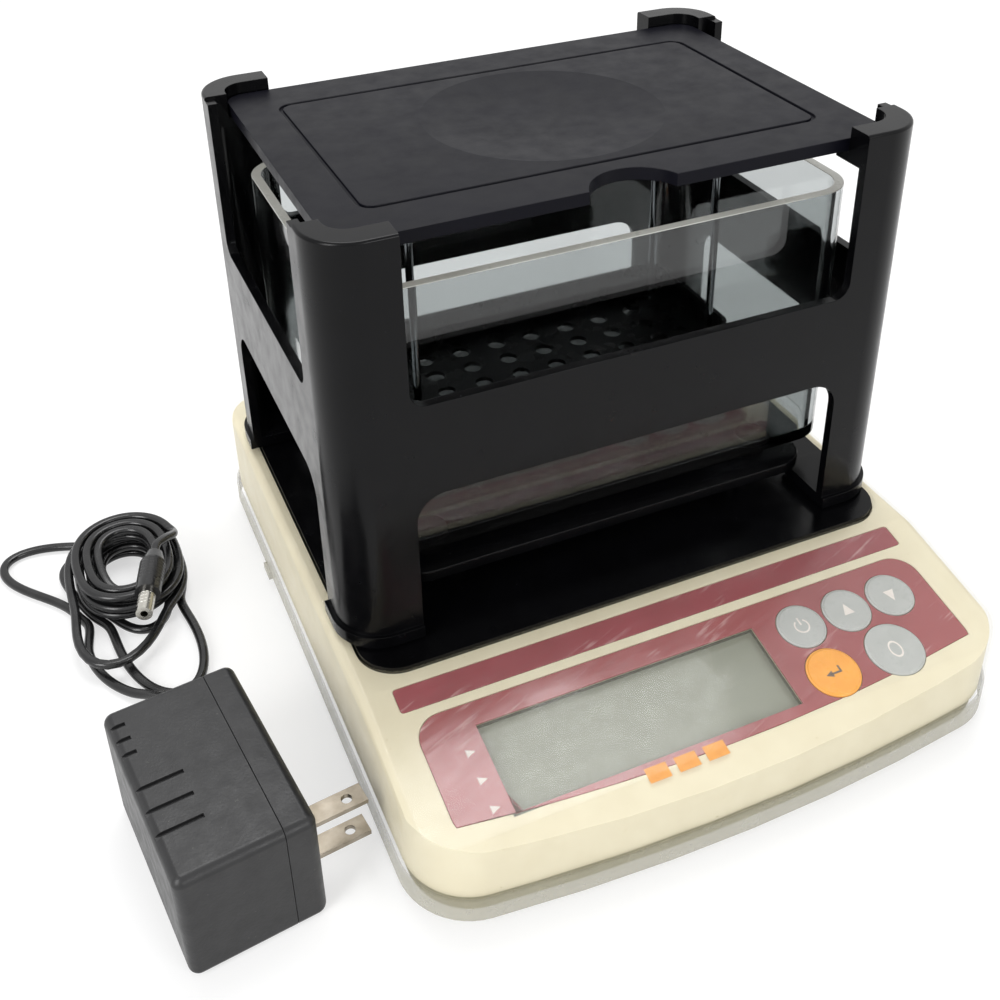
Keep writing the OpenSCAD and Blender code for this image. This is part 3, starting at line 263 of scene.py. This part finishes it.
def printed_film(name, ink, deep):
    """Polyester film printed from behind, with a slack protective foil on it: clear gloss, long soft
    creases and, along them, fine pale streaks painted into the colour as highlights on the foil."""
    material, tree, out = new_material(name)
    place = tree.nodes.new("ShaderNodeTexCoord").outputs["Object"]
    drift = between(tree, grain(tree, place, 16 * MM, 4.0), 0, 1)
    tone = blend_colours(tree, drift, colour(ink), colour(deep))
    turned = add(tree, "ShaderNodeMapping", Vector=place, Rotation=(0, 0, math.radians(-20)))
    painted_sheen_streaks = grain(tree, turned.outputs["Vector"], 2.2 * MM, 5.0, (9, 0.7, 1))
    patch = grain(tree, place, 22 * MM, 2.0)
    both = add(tree, "ShaderNodeMath", {"operation": "MULTIPLY"}, i0=painted_sheen_streaks, i1=patch)
    # Painted highlight: where the streaks cross the patches, the ink is lightened towards pale pink as
    # sheen on the foil's creases
    haze = between(tree, both.outputs["Value"], 0, 0.5, 0.33, 0.46)
    tone = blend_colours(tree, haze, tone, colour("#e3c3c2"))
    folds = add(tree, "ShaderNodeBump", Strength=1.0, Distance=0.22 * MM,
                Height=grain(tree, turned.outputs["Vector"], 8 * MM, 2.0, (5, 1, 1)))
    gloss = between(tree, painted_sheen_streaks, 0.12, 0.3)
    skin = add(tree, "ShaderNodeBsdfPrincipled", Base_Color=tone, Roughness=gloss,
               Normal=folds.outputs["Normal"], Coat_Weight=0.2, Coat_Roughness=0.12)
    tree.links.new(skin.outputs["BSDF"], out.inputs["Surface"])
    return material


# Rose and deep red inks under gloss film
panel_film = printed_film("panel_film", "#9d4852", "#923d48")
strip_film = printed_film("strip_film", "#96384a", "#882d3f")


def display_glass():
    """Twisted-nematic glass: grey-green, matt polariser, with faint level streaks painted in as
    reflections.
    """
    material, tree, out = new_material("display_glass")
    place = tree.nodes.new("ShaderNodeTexCoord").outputs["Object"]
    # Painted reflection: stretched noise lightens the glass in faint level streaks
    streaks = grain(tree, place, 3 * MM, 4.0, (14, 0.8, 1))
    tone = blend_colours(tree, between(tree, streaks, 0, 1), colour("#878b7e"), colour("#909486"))
    skin = add(tree, "ShaderNodeBsdfPrincipled", Base_Color=tone, Roughness=0.35)
    tree.links.new(skin.outputs["BSDF"], out.inputs["Surface"])
    return material


# Screen-printed marks: flat ink, a little uneven
white_ink = moulded("white_ink", "#ece6e0", "#dfd7d2", 0.45, mottle=3 * MM)
grey_ink = moulded("grey_ink", "#6b5a52", "#5d4e48", 0.45, mottle=3 * MM)
orange_ink = moulded("orange_ink", "#f1a23c", "#e69632", 0.45, mottle=3 * MM)


# ---------------------------------------------------------------- mesh helpers

def put(name, mesh, body, materials, replaced=()):
    """Make a finished object of a mesh: its materials, the body it rides on, what it replaces."""
    piece = bpy.data.objects.new(name, mesh)
    scene.collection.objects.link(piece)
    if not mesh.materials:
        for material in materials:
            mesh.materials.append(material)
    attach(piece, body)
    if replaced:
        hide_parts(*replaced)
    return piece


def to_mesh(bm, name):
    mesh = bpy.data.meshes.new(name)
    bm.to_mesh(mesh)
    bm.free()
    return mesh


def shade(bm, angle=math.radians(32)):
    """Smooth every face, and keep the edges sharper than angle sharp."""
    for face in bm.faces:
        face.smooth = True
    for edge in bm.edges:
        edge.smooth = len(edge.link_faces) == 2 and edge.calc_face_angle(0) < angle


def merged_copy(node, flat=math.radians(1.5)):
    """A joined, cleaned copy of a CAD node's loose triangles, its flat faces whole."""
    bm = bmesh.new()
    bm.from_mesh(NODES[node].data)
    bmesh.ops.remove_doubles(bm, verts=bm.verts, dist=0.002 * MM)
    bmesh.ops.dissolve_limit(bm, angle_limit=flat, verts=bm.verts, edges=bm.edges)
    return bm


def break_edges(bm, width, edges, segments=2):
    """Round the given edges by width."""
    bmesh.ops.bevel(bm, geom=list(edges), offset=width, offset_type="OFFSET", segments=segments,
                    profile=0.5, affect="EDGES", clamp_overlap=True)


def crisp_edges(bm, angle=math.radians(38)):
    return [e for e in bm.edges if len(e.link_faces) == 2 and e.calc_face_angle(0) > angle]


def softened(node, width, material, segments=2):
    """Stand in for a CAD node with the same shape whose edges are broken by width."""
    bm = merged_copy(node)
    break_edges(bm, width, crisp_edges(bm), segments)
    shade(bm)
    body = NODES[node]["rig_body"]
    return put(node + "_finished", to_mesh(bm, node), body, [material], [node])


def dress(node, material):
    """Give a CAD node that keeps its shape its finish."""
    mesh = NODES[node].data
    if not mesh.materials:
        mesh.materials.append(material)
    for i in range(len(mesh.materials)):
        mesh.materials[i] = material


# ---------------------------------------------------------------- cord

CORD_D = 3.2
HANK_AT = (-144, 69)
HANK_START = 200
HANK_TURNS = 11.5
HANK_LAYER = 3
HANK_R = 8.6
HANK_STEP = 3.85
HANK_RUN = 6
HANK_LOW = CORD_D / 2 + 0.1
# Loose bights of the outer turns: angle along the winding, reach and spread
BIGHTS = ((150, 27, 24), (278 - 360, 38, 24), (150 - 360, 8, 30), (278 - 720, 8, 30),
          (250 - 2160, 20, 30))
RINGS_A_TURN = 72
BIGHT_TURNS = 2
RELIEF_TIP = (-140.155, -9.134, 10)
RELIEF_TURN = 7
LEAD_MIDDLE = ((-143, 2.5, 7.4), (-147, 9, 4.3), (-152.5, 15, 2.2), (-157.5, 22, 1.7),
               (-161, 30, 1.7), (-162.6, 39, 1.7))
TAIL_MIDDLE = ((-126.2, 71.5, 15.6), (-129.4, 67.5, 17.9))
PLUG_AT = (-134.5, 58.5, HANK_LOW + 3 * HANK_STEP + CORD_D / 2 + 4.4)
PLUG_TURN = 163


def ease(x):
    return x * x * (3 - 2 * x)


def hank_point(t):
    """The hank's centreline at turn t, wound in and out again in layers."""
    a = HANK_START - 360 * t
    fold = abs((t + HANK_LAYER) % (2 * HANK_LAYER) - HANK_LAYER)
    bight = sum(reach * math.exp(-((a - at) / spread) ** 2) for at, reach, spread in BIGHTS)
    r = HANK_R + HANK_STEP * (HANK_LAYER - fold) + bight
    climb = sum(ease(min(1, max(0, (t - n * HANK_LAYER + 0.25) * 2))) for n in (1, 2, 3))
    c, s = math.cos(math.radians(a)), math.sin(math.radians(a))
    return (HANK_AT[0] + r * c, HANK_AT[1] + r * s + HANK_RUN * s / math.sqrt(s * s + 0.15),
            HANK_LOW + HANK_STEP * climb)


def knot_pair(knots, i, span):
    """The knots that a blend runs between; the last one runs over the middle stretch."""
    return (knots[1], knots[2]) if span == 3 else (knots[i], knots[i + span])


def mixed(first, second, t, start, end):
    return first + (second - first) * ((t - start) / (end - start))


def flow(points, steps=8):
    """A smooth curve through the points, as steps points for each stretch. Its knots stand as
    far apart as the roots of the distances, so that a short stretch beside a long one is even."""
    p = [np.array(q, float) for q in points]
    p = [2 * p[0] - p[1]] + p + [2 * p[-1] - p[-2]]
    line = []
    for a, b, c, d in zip(p, p[1:], p[2:], p[3:]):
        knots = np.cumsum([0] + [math.sqrt(np.linalg.norm(v - u)) for u, v in ((a, b), (b, c), (c, d))])
        for t in np.linspace(knots[1], knots[2], steps, endpoint=False):
            level = [a, b, c, d]
            for span in (1, 2, 3):
                level = [mixed(level[i], level[i + 1], t, *knot_pair(knots, i, span))
                         for i in range(4 - span)]
            line.append(level[0])
    return line + [p[-2]]


def cord_route():
    """The whole centreline in millimetres, from the strain relief to the plug."""
    loose = int(BIGHT_TURNS * RINGS_A_TURN)
    hank = [np.array(hank_point(i / RINGS_A_TURN / 4)) for i in range(4 * loose)]
    hank += [np.array(hank_point(i / RINGS_A_TURN))
             for i in range(loose, int(HANK_TURNS * RINGS_A_TURN) + 1)]
    way_in = (hank[2] - hank[0]) / np.linalg.norm(hank[2] - hank[0])
    way_out = (hank[-1] - hank[-3]) / np.linalg.norm(hank[-1] - hank[-3])
    turn = math.radians(RELIEF_TURN)
    relief_way = np.array((-math.sin(turn), math.cos(turn), 0))
    turn = math.radians(PLUG_TURN)
    plug_way = np.array((-math.sin(turn), math.cos(turn), 0))
    tip = np.array(RELIEF_TIP)
    plug = np.array(PLUG_AT)
    lead = flow([tip, tip + CORD_D * relief_way, *LEAD_MIDDLE, hank[0] - 2 * CORD_D * way_in, hank[0]])
    tail = flow([hank[-1], hank[-1] + CORD_D * way_out, *TAIL_MIDDLE, plug - 1.6 * CORD_D * plug_way,
                 plug])
    return [Vector(q) * MM for q in lead[:-1] + hank + tail[1:]]


def cord_section(sides=18):
    """Twin flex: round, with a shallow groove above and below between its two cores."""
    ring = []
    for k in range(sides):
        a = 2 * math.pi * k / sides
        dip = 0.2 * math.exp(-(math.cos(a) / 0.3) ** 2)
        ring.append((CORD_D / 2 * MM * math.cos(a), CORD_D / 2 * MM * (0.94 - dip) * math.sin(a)))
    return ring


def sweep(route, ring):
    """A closed tube of a cross-section along a route that is never upright."""
    bm = bmesh.new()
    rings = []
    for i, at in enumerate(route):
        way = (route[min(i + 1, len(route) - 1)] - route[max(i - 1, 0)]).normalized()
        side = way.cross(Vector((0, 0, 1))).normalized()
        up = side.cross(way)
        rings.append([bm.verts.new(at + side * x + up * y) for x, y in ring])
    n = len(ring)
    for a, b in zip(rings, rings[1:]):
        for k in range(n):
            bm.faces.new((a[k], a[(k + 1) % n], b[(k + 1) % n], b[k]))
    bm.faces.new(rings[0])
    bm.faces.new(reversed(rings[-1]))
    bmesh.ops.recalc_face_normals(bm, faces=bm.faces)
    shade(bm, math.radians(50))
    return bm


route = cord_route()
cord = put("power_cord", to_mesh(sweep(route, cord_section()), "power_cord"), "base",
           [cord_pvc], ["cord_lead", "cord_hank", "cord_tail"])


# ---------------------------------------------------------------- repeated details

def grip_tree(material):
    """Geometry Nodes: a row of thin rings along +Z, for the grip ribs of plug and strain relief."""
    tree = bpy.data.node_groups.new("grip_rings", "GeometryNodeTree")
    for name in ("Count", "Pitch", "Ring radius", "End radius", "Wire radius"):
        kind = "NodeSocketInt" if name == "Count" else "NodeSocketFloat"
        tree.interface.new_socket(name, in_out="INPUT", socket_type=kind)
    tree.interface.new_socket("Geometry", in_out="OUTPUT", socket_type="NodeSocketGeometry")
    asked = tree.nodes.new("NodeGroupInput").outputs
    ends = tree.nodes.new("NodeGroupOutput")
    step = add(tree, "ShaderNodeCombineXYZ", Z=asked["Pitch"])
    row = add(tree, "GeometryNodeMeshLine", {"mode": "OFFSET"}, Count=asked["Count"],
              Offset=step.outputs["Vector"])
    rim = add(tree, "GeometryNodeCurvePrimitiveCircle", Resolution=36, Radius=1.0)
    index = tree.nodes.new("GeometryNodeInputIndex").outputs["Index"]
    last = add(tree, "ShaderNodeMath", {"operation": "SUBTRACT"}, i0=asked["Count"], i1=1.0)
    taper = add(tree, "ShaderNodeMapRange", Value=index, From_Min=0.0, From_Max=last.outputs[0],
                To_Min=asked["Ring radius"], To_Max=asked["End radius"])
    placed = add(tree, "GeometryNodeInstanceOnPoints", Points=row.outputs["Mesh"],
                 Instance=rim.outputs["Curve"])
    wide = add(tree, "ShaderNodeCombineXYZ", X=taper.outputs["Result"], Y=taper.outputs["Result"], Z=1.0)
    tree.links.new(wide.outputs["Vector"], placed.inputs["Scale"])
    real = add(tree, "GeometryNodeRealizeInstances", Geometry=placed.outputs["Instances"])
    wire = add(tree, "GeometryNodeCurvePrimitiveCircle", Resolution=8, Radius=asked["Wire radius"])
    solid = add(tree, "GeometryNodeCurveToMesh", Curve=real.outputs["Geometry"],
                Profile_Curve=wire.outputs["Curve"])
    whole = add(tree, "GeometryNodeRealizeInstances", Geometry=solid.outputs["Mesh"])
    coat = add(tree, "GeometryNodeSetMaterial", Geometry=whole.outputs["Geometry"], Material=material)
    tree.links.new(coat.outputs["Geometry"], ends.inputs["Geometry"])
    return tree


def grown(name, tree, **values):
    """Run a Geometry Nodes tree on an empty mesh and give back the plain mesh that it makes."""
    holder = bpy.data.objects.new(name, bpy.data.meshes.new(name))
    scene.collection.objects.link(holder)
    modifier = holder.modifiers.new(name, "NODES")
    modifier.node_group = tree
    for item in tree.interface.items_tree:
        key = item.name.replace(" ", "_")
        if item.item_type == "SOCKET" and item.in_out == "INPUT" and key in values:
            modifier[item.identifier] = values[key]
    bpy.context.view_layer.update()
    seen = holder.evaluated_get(bpy.context.evaluated_depsgraph_get())
    mesh = bpy.data.meshes.new_from_object(seen)
    bpy.data.objects.remove(holder)
    for polygon in mesh.polygons:
        polygon.use_smooth = True
    return mesh


def laid(mesh, at, turn):
    """Bring a row that was made along +Z to its place, lying along the turned +Y."""
    mesh.transform(Matrix.Translation(Vector(at) * MM) @ Matrix.Rotation(math.radians(turn), 4, "Z")
                   @ Matrix.Rotation(math.radians(-90), 4, "X"))
    return mesh


def point_along(at, turn, distance):
    """The point that lies distance from at along the turned +Y."""
    turn = math.radians(turn)
    return (at[0] - math.sin(turn) * distance, at[1] + math.cos(turn) * distance, at[2])


# How far each row starts from the piece's own tip, along its length
PLUG_RIBS_FROM = 5.5
RELIEF_RIBS_FROM = -12.5
BARREL_RIDGES_FROM = 21.5

rings = grip_tree(cord_pvc)
plug_ribs = grown("plug_ribs", rings, Count=7, Pitch=1.5 * MM, Ring_radius=4.15 * MM,
                  End_radius=4.15 * MM, Wire_radius=0.3 * MM)
put("plug_grip_ribs", laid(plug_ribs, point_along(PLUG_AT, PLUG_TURN, PLUG_RIBS_FROM), PLUG_TURN), "base",
    [cord_pvc])
relief_ribs = grown("relief_ribs", rings, Count=7, Pitch=1.8 * MM, Ring_radius=3.75 * MM,
                    End_radius=2.5 * MM, Wire_radius=0.35 * MM)
relief_start = point_along(RELIEF_TIP, RELIEF_TURN, RELIEF_RIBS_FROM)
put("strain_relief_ribs", laid(relief_ribs, relief_start, RELIEF_TURN), "base",
    [cord_pvc])
barrel_rings = grown("barrel_rings", grip_tree(nickel_plate), Count=4, Pitch=1.6 * MM,
                     Ring_radius=2.7 * MM, End_radius=2.7 * MM, Wire_radius=0.14 * MM)
ridges_start = point_along(PLUG_AT, PLUG_TURN, BARREL_RIDGES_FROM)
put("barrel_ridges", laid(barrel_rings, ridges_start, PLUG_TURN), "base",
    [nickel_plate])


# ---------------------------------------------------------------- housings and panel

HEM_ABOVE_SHELL = 0.4 * MM
PANEL_AT = Vector((0, -53.5, 40.5)) * MM
SLOPE = math.radians(11.1)
PANEL = Matrix.Translation(PANEL_AT) @ Matrix.Rotation(SLOPE, 4, "X")


def weigh_normals(piece):
    """Keep big flat faces flat in the shading beside their rounded edges."""
    modifier = piece.modifiers.new("flat_shading", "WEIGHTED_NORMAL")
    modifier.keep_sharp = True
    return piece


weigh_normals(softened("upper_housing", 0.5 * MM, ivory_abs, 3))
weigh_normals(softened("lower_housing", 0.6 * MM, lower_abs))


def dust_cover():
    """The clear cover, cut level where its hem hangs past the shell."""
    bm = merged_copy("dust_cover")
    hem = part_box("upper_housing")[0].z + HEM_ABOVE_SHELL
    bmesh.ops.bisect_plane(bm, geom=bm.verts[:] + bm.edges[:] + bm.faces[:], plane_co=(0, 0, hem),
                           plane_no=(0, 0, 1))
    for face in bm.faces:
        face.material_index = int(face.calc_center_median().z < hem)
    shade(bm)
    piece = put("dust_cover_finished", to_mesh(bm, "dust_cover"), "base",
                [cover_pvc, skirt_pvc], ["dust_cover"])
    return weigh_normals(piece)


dust_cover()
weigh_normals(softened("title_strip", 0.12 * MM, strip_film))
weigh_normals(softened("keypad_overlay", 0.12 * MM, panel_film))
dress("display_window", window_acrylic)
dress("lcd_panel", display_glass())
for key in ("key_power", "key_left", "key_right", "key_zero"):
    weigh_normals(softened(key, 0.25 * MM, key_silicone))
weigh_normals(softened("key_enter", 0.25 * MM, orange_silicone))


def key_middle(node):
    """A key's middle in the panel's frame, in metres across and down the slope."""
    low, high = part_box(node)
    spot = PANEL.inverted() @ ((low + high) / 2)
    return spot.x, spot.y


INK_T = 0.06 * MM
KEY_FACE = 0.5 * MM
# The orange blocks: where their middles are across, how far under the display, and their size
BLOCKS_X = (-27 * MM, -17.8 * MM, -8.7 * MM)
BLOCKS_DROP = 2.7 * MM
BLOCK = (6.6 * MM, 4.4 * MM)
# The pointers: how far left of the display, how far up the lowest stands, the step and the size
POINTERS_OUT = 4 * MM
POINTER_LOW = 4 * MM
POINTER_STEP = 8.6 * MM
POINTER_R = 1.6 * MM


def printed(name, outlines, body, material, height):
    """Thin ink on the panel or a key: closed outlines in the panel's frame, raised by height."""
    bm = bmesh.new()
    for outline in outlines:
        face = bm.faces.new([bm.verts.new((x, y, height)) for x, y in outline])
        if face.normal.z < 0 or face.calc_area() == 0:
            face.normal_flip()
        top = bmesh.ops.extrude_face_region(bm, geom=[face])["geom"]
        for vert in (g for g in top if isinstance(g, bmesh.types.BMVert)):
            vert.co.z += INK_T
    bmesh.ops.recalc_face_normals(bm, faces=bm.faces)
    bm.transform(PANEL)
    return put(name, to_mesh(bm, name), body, [material])


def disc(x, y, r, sides=32, start=0.0, sweep_by=2 * math.pi, inner=0.0):
    """A disc, or a band of one when inner is given."""
    full = sweep_by >= 2 * math.pi - 1e-6
    count = sides if full and not inner else sides + 1

    def arc(radius):
        turns = [start + sweep_by * k / sides for k in range(count)]
        return [(x + radius * math.cos(a), y + radius * math.sin(a)) for a in turns]

    return arc(r) + (arc(inner)[::-1] if inner else [])


def bar(x, y, w, h):
    """A rectangle w by h about its middle."""
    return [(x + i * w / 2, y + j * h / 2) for i, j in ((-1, -1), (1, -1), (1, 1), (-1, 1))]


def wedge(x, y, r, turn):
    """A small triangle that points along turn degrees."""
    return [(x + r * math.cos(math.radians(turn + a)), y + r * math.sin(math.radians(turn + a)))
            for a in (0, 130, 230)]


def key_marks():
    """Generic marks: the power sign, two arrows, an entry arrow and a nought."""
    x, y = key_middle("key_power")
    power = [disc(x, y, 2.5 * MM, 28, math.radians(125), math.radians(290), 2.0 * MM),
             bar(x, y + 1.7 * MM, 0.55 * MM, 2.6 * MM)]
    printed("power_mark", power, "key_power", white_ink, KEY_FACE)
    x, y = key_middle("key_left")
    printed("left_mark", [wedge(x, y, 2.4 * MM, 90)], "key_left", white_ink, KEY_FACE)
    x, y = key_middle("key_right")
    printed("right_mark", [wedge(x, y, 2.4 * MM, -90)], "key_right", white_ink, KEY_FACE)
    x, y = key_middle("key_zero")
    nought = [(x + a * 0.72, y + b) for a, b in disc(0, 0, 2.9 * MM, 40, 0, 2 * math.pi, 2.25 * MM)]
    printed("zero_mark", [nought], "key_zero", white_ink, KEY_FACE)
    x, y = key_middle("key_enter")
    arrow = [bar(x + 0.6 * MM, y - 0.4 * MM, 3.6 * MM, 0.6 * MM),
             bar(x + 2.1 * MM, y + 0.75 * MM, 0.6 * MM, 1.7 * MM),
             wedge(x - 1.6 * MM, y - 0.4 * MM, 1.4 * MM, 180)]
    printed("enter_mark", arrow, "key_enter", grey_ink, KEY_FACE)


def panel_marks():
    """Plain blocks and pointers where the photograph has its printed words."""
    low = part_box("display_window")[0]
    sill = (PANEL.inverted() @ Vector((0, low.y, low.z))).y
    blocks = [bar(x, sill - BLOCKS_DROP, *BLOCK) for x in BLOCKS_X]
    printed("panel_blocks", blocks, "base", orange_ink, 0)
    rows = [wedge(low.x - POINTERS_OUT, sill + POINTER_LOW + k * POINTER_STEP, POINTER_R, 0)
            for k in range(3)]
    printed("row_pointers", rows, "base", white_ink, 0)


key_marks()
panel_marks()


# ---------------------------------------------------------------- tray, stage, lid and tank

NEAR = 0.1 * MM
LEVEL = 0.01 * MM
FOOT_FLANGE = 1.2 * MM
POST_R = 14 * MM
CAP_ROUND = 2.4 * MM
DISH_MIDDLE = (0, 26.5 * MM)
DISH_R = 37.5 * MM
RIM_DEPTH = 0.4 * MM


def stage_frame():
    """The stage with its caps' outer rims rounded wide and every other edge lightly broken."""
    bm = merged_copy("stage_frame")
    top = max(v.co.z for v in bm.verts)
    low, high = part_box("stage_frame")
    half_x = (high.x - low.x) / 2 - FOOT_FLANGE
    half_y = (high.y - low.y) / 2 - FOOT_FLANGE
    middle = (low + high) / 2

    def on_rim(vert):
        x, y = abs(vert.co.x - middle.x), abs(vert.co.y - middle.y)
        if abs(vert.co.z - top) > LEVEL:
            return False
        if x > half_x - POST_R and y > half_y - POST_R:
            return abs(math.hypot(x - half_x + POST_R, y - half_y + POST_R) - POST_R) < NEAR
        return abs(x - half_x) < NEAR or abs(y - half_y) < NEAR

    rim = [e for e in bm.edges if all(on_rim(v) for v in e.verts)]
    break_edges(bm, CAP_ROUND, rim, 5)
    break_edges(bm, 0.5 * MM, crisp_edges(bm))
    shade(bm)
    return weigh_normals(put("stage_frame_finished", to_mesh(bm, "stage_frame"), "stage",
                             [gloss_abs], ["stage_frame"]))


def stage_lid():
    """The lid, its edges broken and the dish's rim crisp."""
    bm = merged_copy("stage_lid", math.radians(0.2))
    break_edges(bm, 0.35 * MM, crisp_edges(bm))
    shade(bm)
    middle = Vector((*DISH_MIDDLE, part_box("stage_lid")[1].z))
    for edge in bm.edges:
        if all(abs(v.co.z - middle.z) < LEVEL and abs((v.co - middle).length - DISH_R) < 4 * NEAR
               for v in edge.verts):
            edge.smooth = False
    return weigh_normals(put("stage_lid_finished", to_mesh(bm, "stage_lid"), "lid",
                             [matt_abs], ["stage_lid"]))


def water_tank():
    """The clear tank with its sawn rim, pale grey with a painted glow."""
    bm = merged_copy("water_tank")
    top = max(v.co.z for v in bm.verts)
    break_edges(bm, 0.3 * MM, crisp_edges(bm))
    for face in bm.faces:
        face.material_index = int(face.calc_center_median().z > top - RIM_DEPTH)
    shade(bm)
    return weigh_normals(put("water_tank_finished", to_mesh(bm, "water_tank"), "tank",
                             [tank_acrylic, edge_acrylic], ["water_tank"]))


stage_frame()
stage_lid()
water_tank()
weigh_normals(softened("base_tray", 0.5 * MM, gloss_abs))
weigh_normals(softened("tank_table", 0.6 * MM, gloss_abs))
weigh_normals(softened("tank_pads", 0.5 * MM, pad_vinyl))
weigh_normals(softened("water_basket", 0.25 * MM, basket_abs))
dress("basket_hangers", polished_steel)
dress("basket_nuts", plated_steel)


# ---------------------------------------------------------------- adapter and plug

weigh_normals(softened("adapter_case", 0.25 * MM, adapter_styrene))
weigh_normals(softened("adapter_face", 0.25 * MM, adapter_styrene))
weigh_normals(softened("adapter_blades", 0.25 * MM, tinned_brass))
weigh_normals(softened("adapter_strain_relief", 0.2 * MM, cord_pvc))
dress("dc_plug_body", cord_pvc)
dress("dc_plug_barrel", nickel_plate)


# ---------------------------------------------------------------- what stays inside

INSIDE = {
    foot_rubber: ("rubber_feet", "contact_strips"),
    plated_steel: ("housing_screws", "board_screws", "cell_screws", "table_screws", "pan_screws",
                   "overload_stop"),
    gloss_abs: ("lcd_holder", "dc_jack", "key_switches"),
    masked_board: ("main_board",),
    milled_aluminium: ("cell_base", "load_cell", "pan_support"),
    cord_pvc: ("cell_leads",),
    lamination_steel: ("transformer_core",),
    enamelled_copper: ("transformer_winding",),
    paper_board: ("rectifier_board",),
    shrink_sleeve: ("smoothing_capacitor",),
}
for finish, nodes in INSIDE.items():
    for node in nodes:
        dress(node, finish)


# ---------------------------------------------------------------- floor and light

WORLD_LIGHT = 0.5
FLOOR_GLOW = 0.58
FLOOR_HALF = 4.0
MIDDLE = (0, 0, 0.08)


def looked_at(tree):
    """One for rays that show a backdrop, directly, mirrored or through glass, else nought."""
    rays = tree.nodes.new("ShaderNodeLightPath").outputs
    first = add(tree, "ShaderNodeMath", {"operation": "MAXIMUM"}, i0=rays["Is Camera Ray"],
                i1=rays["Is Glossy Ray"])
    return add(tree, "ShaderNodeMath", {"operation": "MAXIMUM"}, i0=first.outputs[0],
               i1=rays["Is Transmission Ray"]).outputs[0]


def floor():
    """A plain pale floor that keeps the object's shadow and otherwise looks white."""
    material, tree, out = new_material("floor")
    matt = add(tree, "ShaderNodeBsdfDiffuse", Color=(0.8, 0.8, 0.79, 1))
    pale = add(tree, "ShaderNodeBsdfDiffuse", Color=(0.45, 0.45, 0.45, 1))
    glow = add(tree, "ShaderNodeEmission", Color=(1, 1, 1, 1), Strength=FLOOR_GLOW)
    both = add(tree, "ShaderNodeAddShader", i0=pale.outputs[0], i1=glow.outputs[0])
    mix = add(tree, "ShaderNodeMixShader", i0=looked_at(tree), i1=matt.outputs[0], i2=both.outputs[0])
    tree.links.new(mix.outputs[0], out.inputs["Surface"])
    mesh = bpy.data.meshes.new("floor")
    mesh.from_pydata([(x * FLOOR_HALF, y * FLOOR_HALF, 0) for x, y in ((-1, -1), (1, -1), (1, 1), (-1, 1))],
                     [], [(0, 1, 2, 3)])
    mesh.materials.append(material)
    piece = bpy.data.objects.new("floor", mesh)
    scene.collection.objects.link(piece)


def world():
    """A white studio that lights the object softly and shows as plain white."""
    made = bpy.data.worlds.new("studio")
    made.use_nodes = True
    tree = made.node_tree
    tree.nodes.clear()
    strength = add(tree, "ShaderNodeMapRange", Value=looked_at(tree), To_Min=WORLD_LIGHT, To_Max=1.0)
    back = add(tree, "ShaderNodeBackground", Color=(1, 1, 1, 1), Strength=strength.outputs["Result"])
    out = tree.nodes.new("ShaderNodeOutputWorld")
    tree.links.new(back.outputs[0], out.inputs["Surface"])
    scene.world = made


def lamp(name, at, aim, size, power):
    data = bpy.data.lights.new(name, "AREA")
    data.shape = "RECTANGLE"
    data.size, data.size_y = size
    data.energy = power
    light = bpy.data.objects.new(name, data)
    light.location = at
    light.rotation_euler = (Vector(aim) - Vector(at)).to_track_quat("-Z", "Y").to_euler()
    scene.collection.objects.link(light)


floor()
world()
lamp("softbox_left", (-1.1, -0.55, 0.75), MIDDLE, (0.5, 0.9), 11)
lamp("softbox_top", (0.2, 0.5, 1.4), MIDDLE, (1.0, 0.7), 13)
lamp("softbox_front", (0.5, -1.3, 0.7), MIDDLE, (0.7, 0.5), 6)

scene.view_settings.view_transform = "Standard"
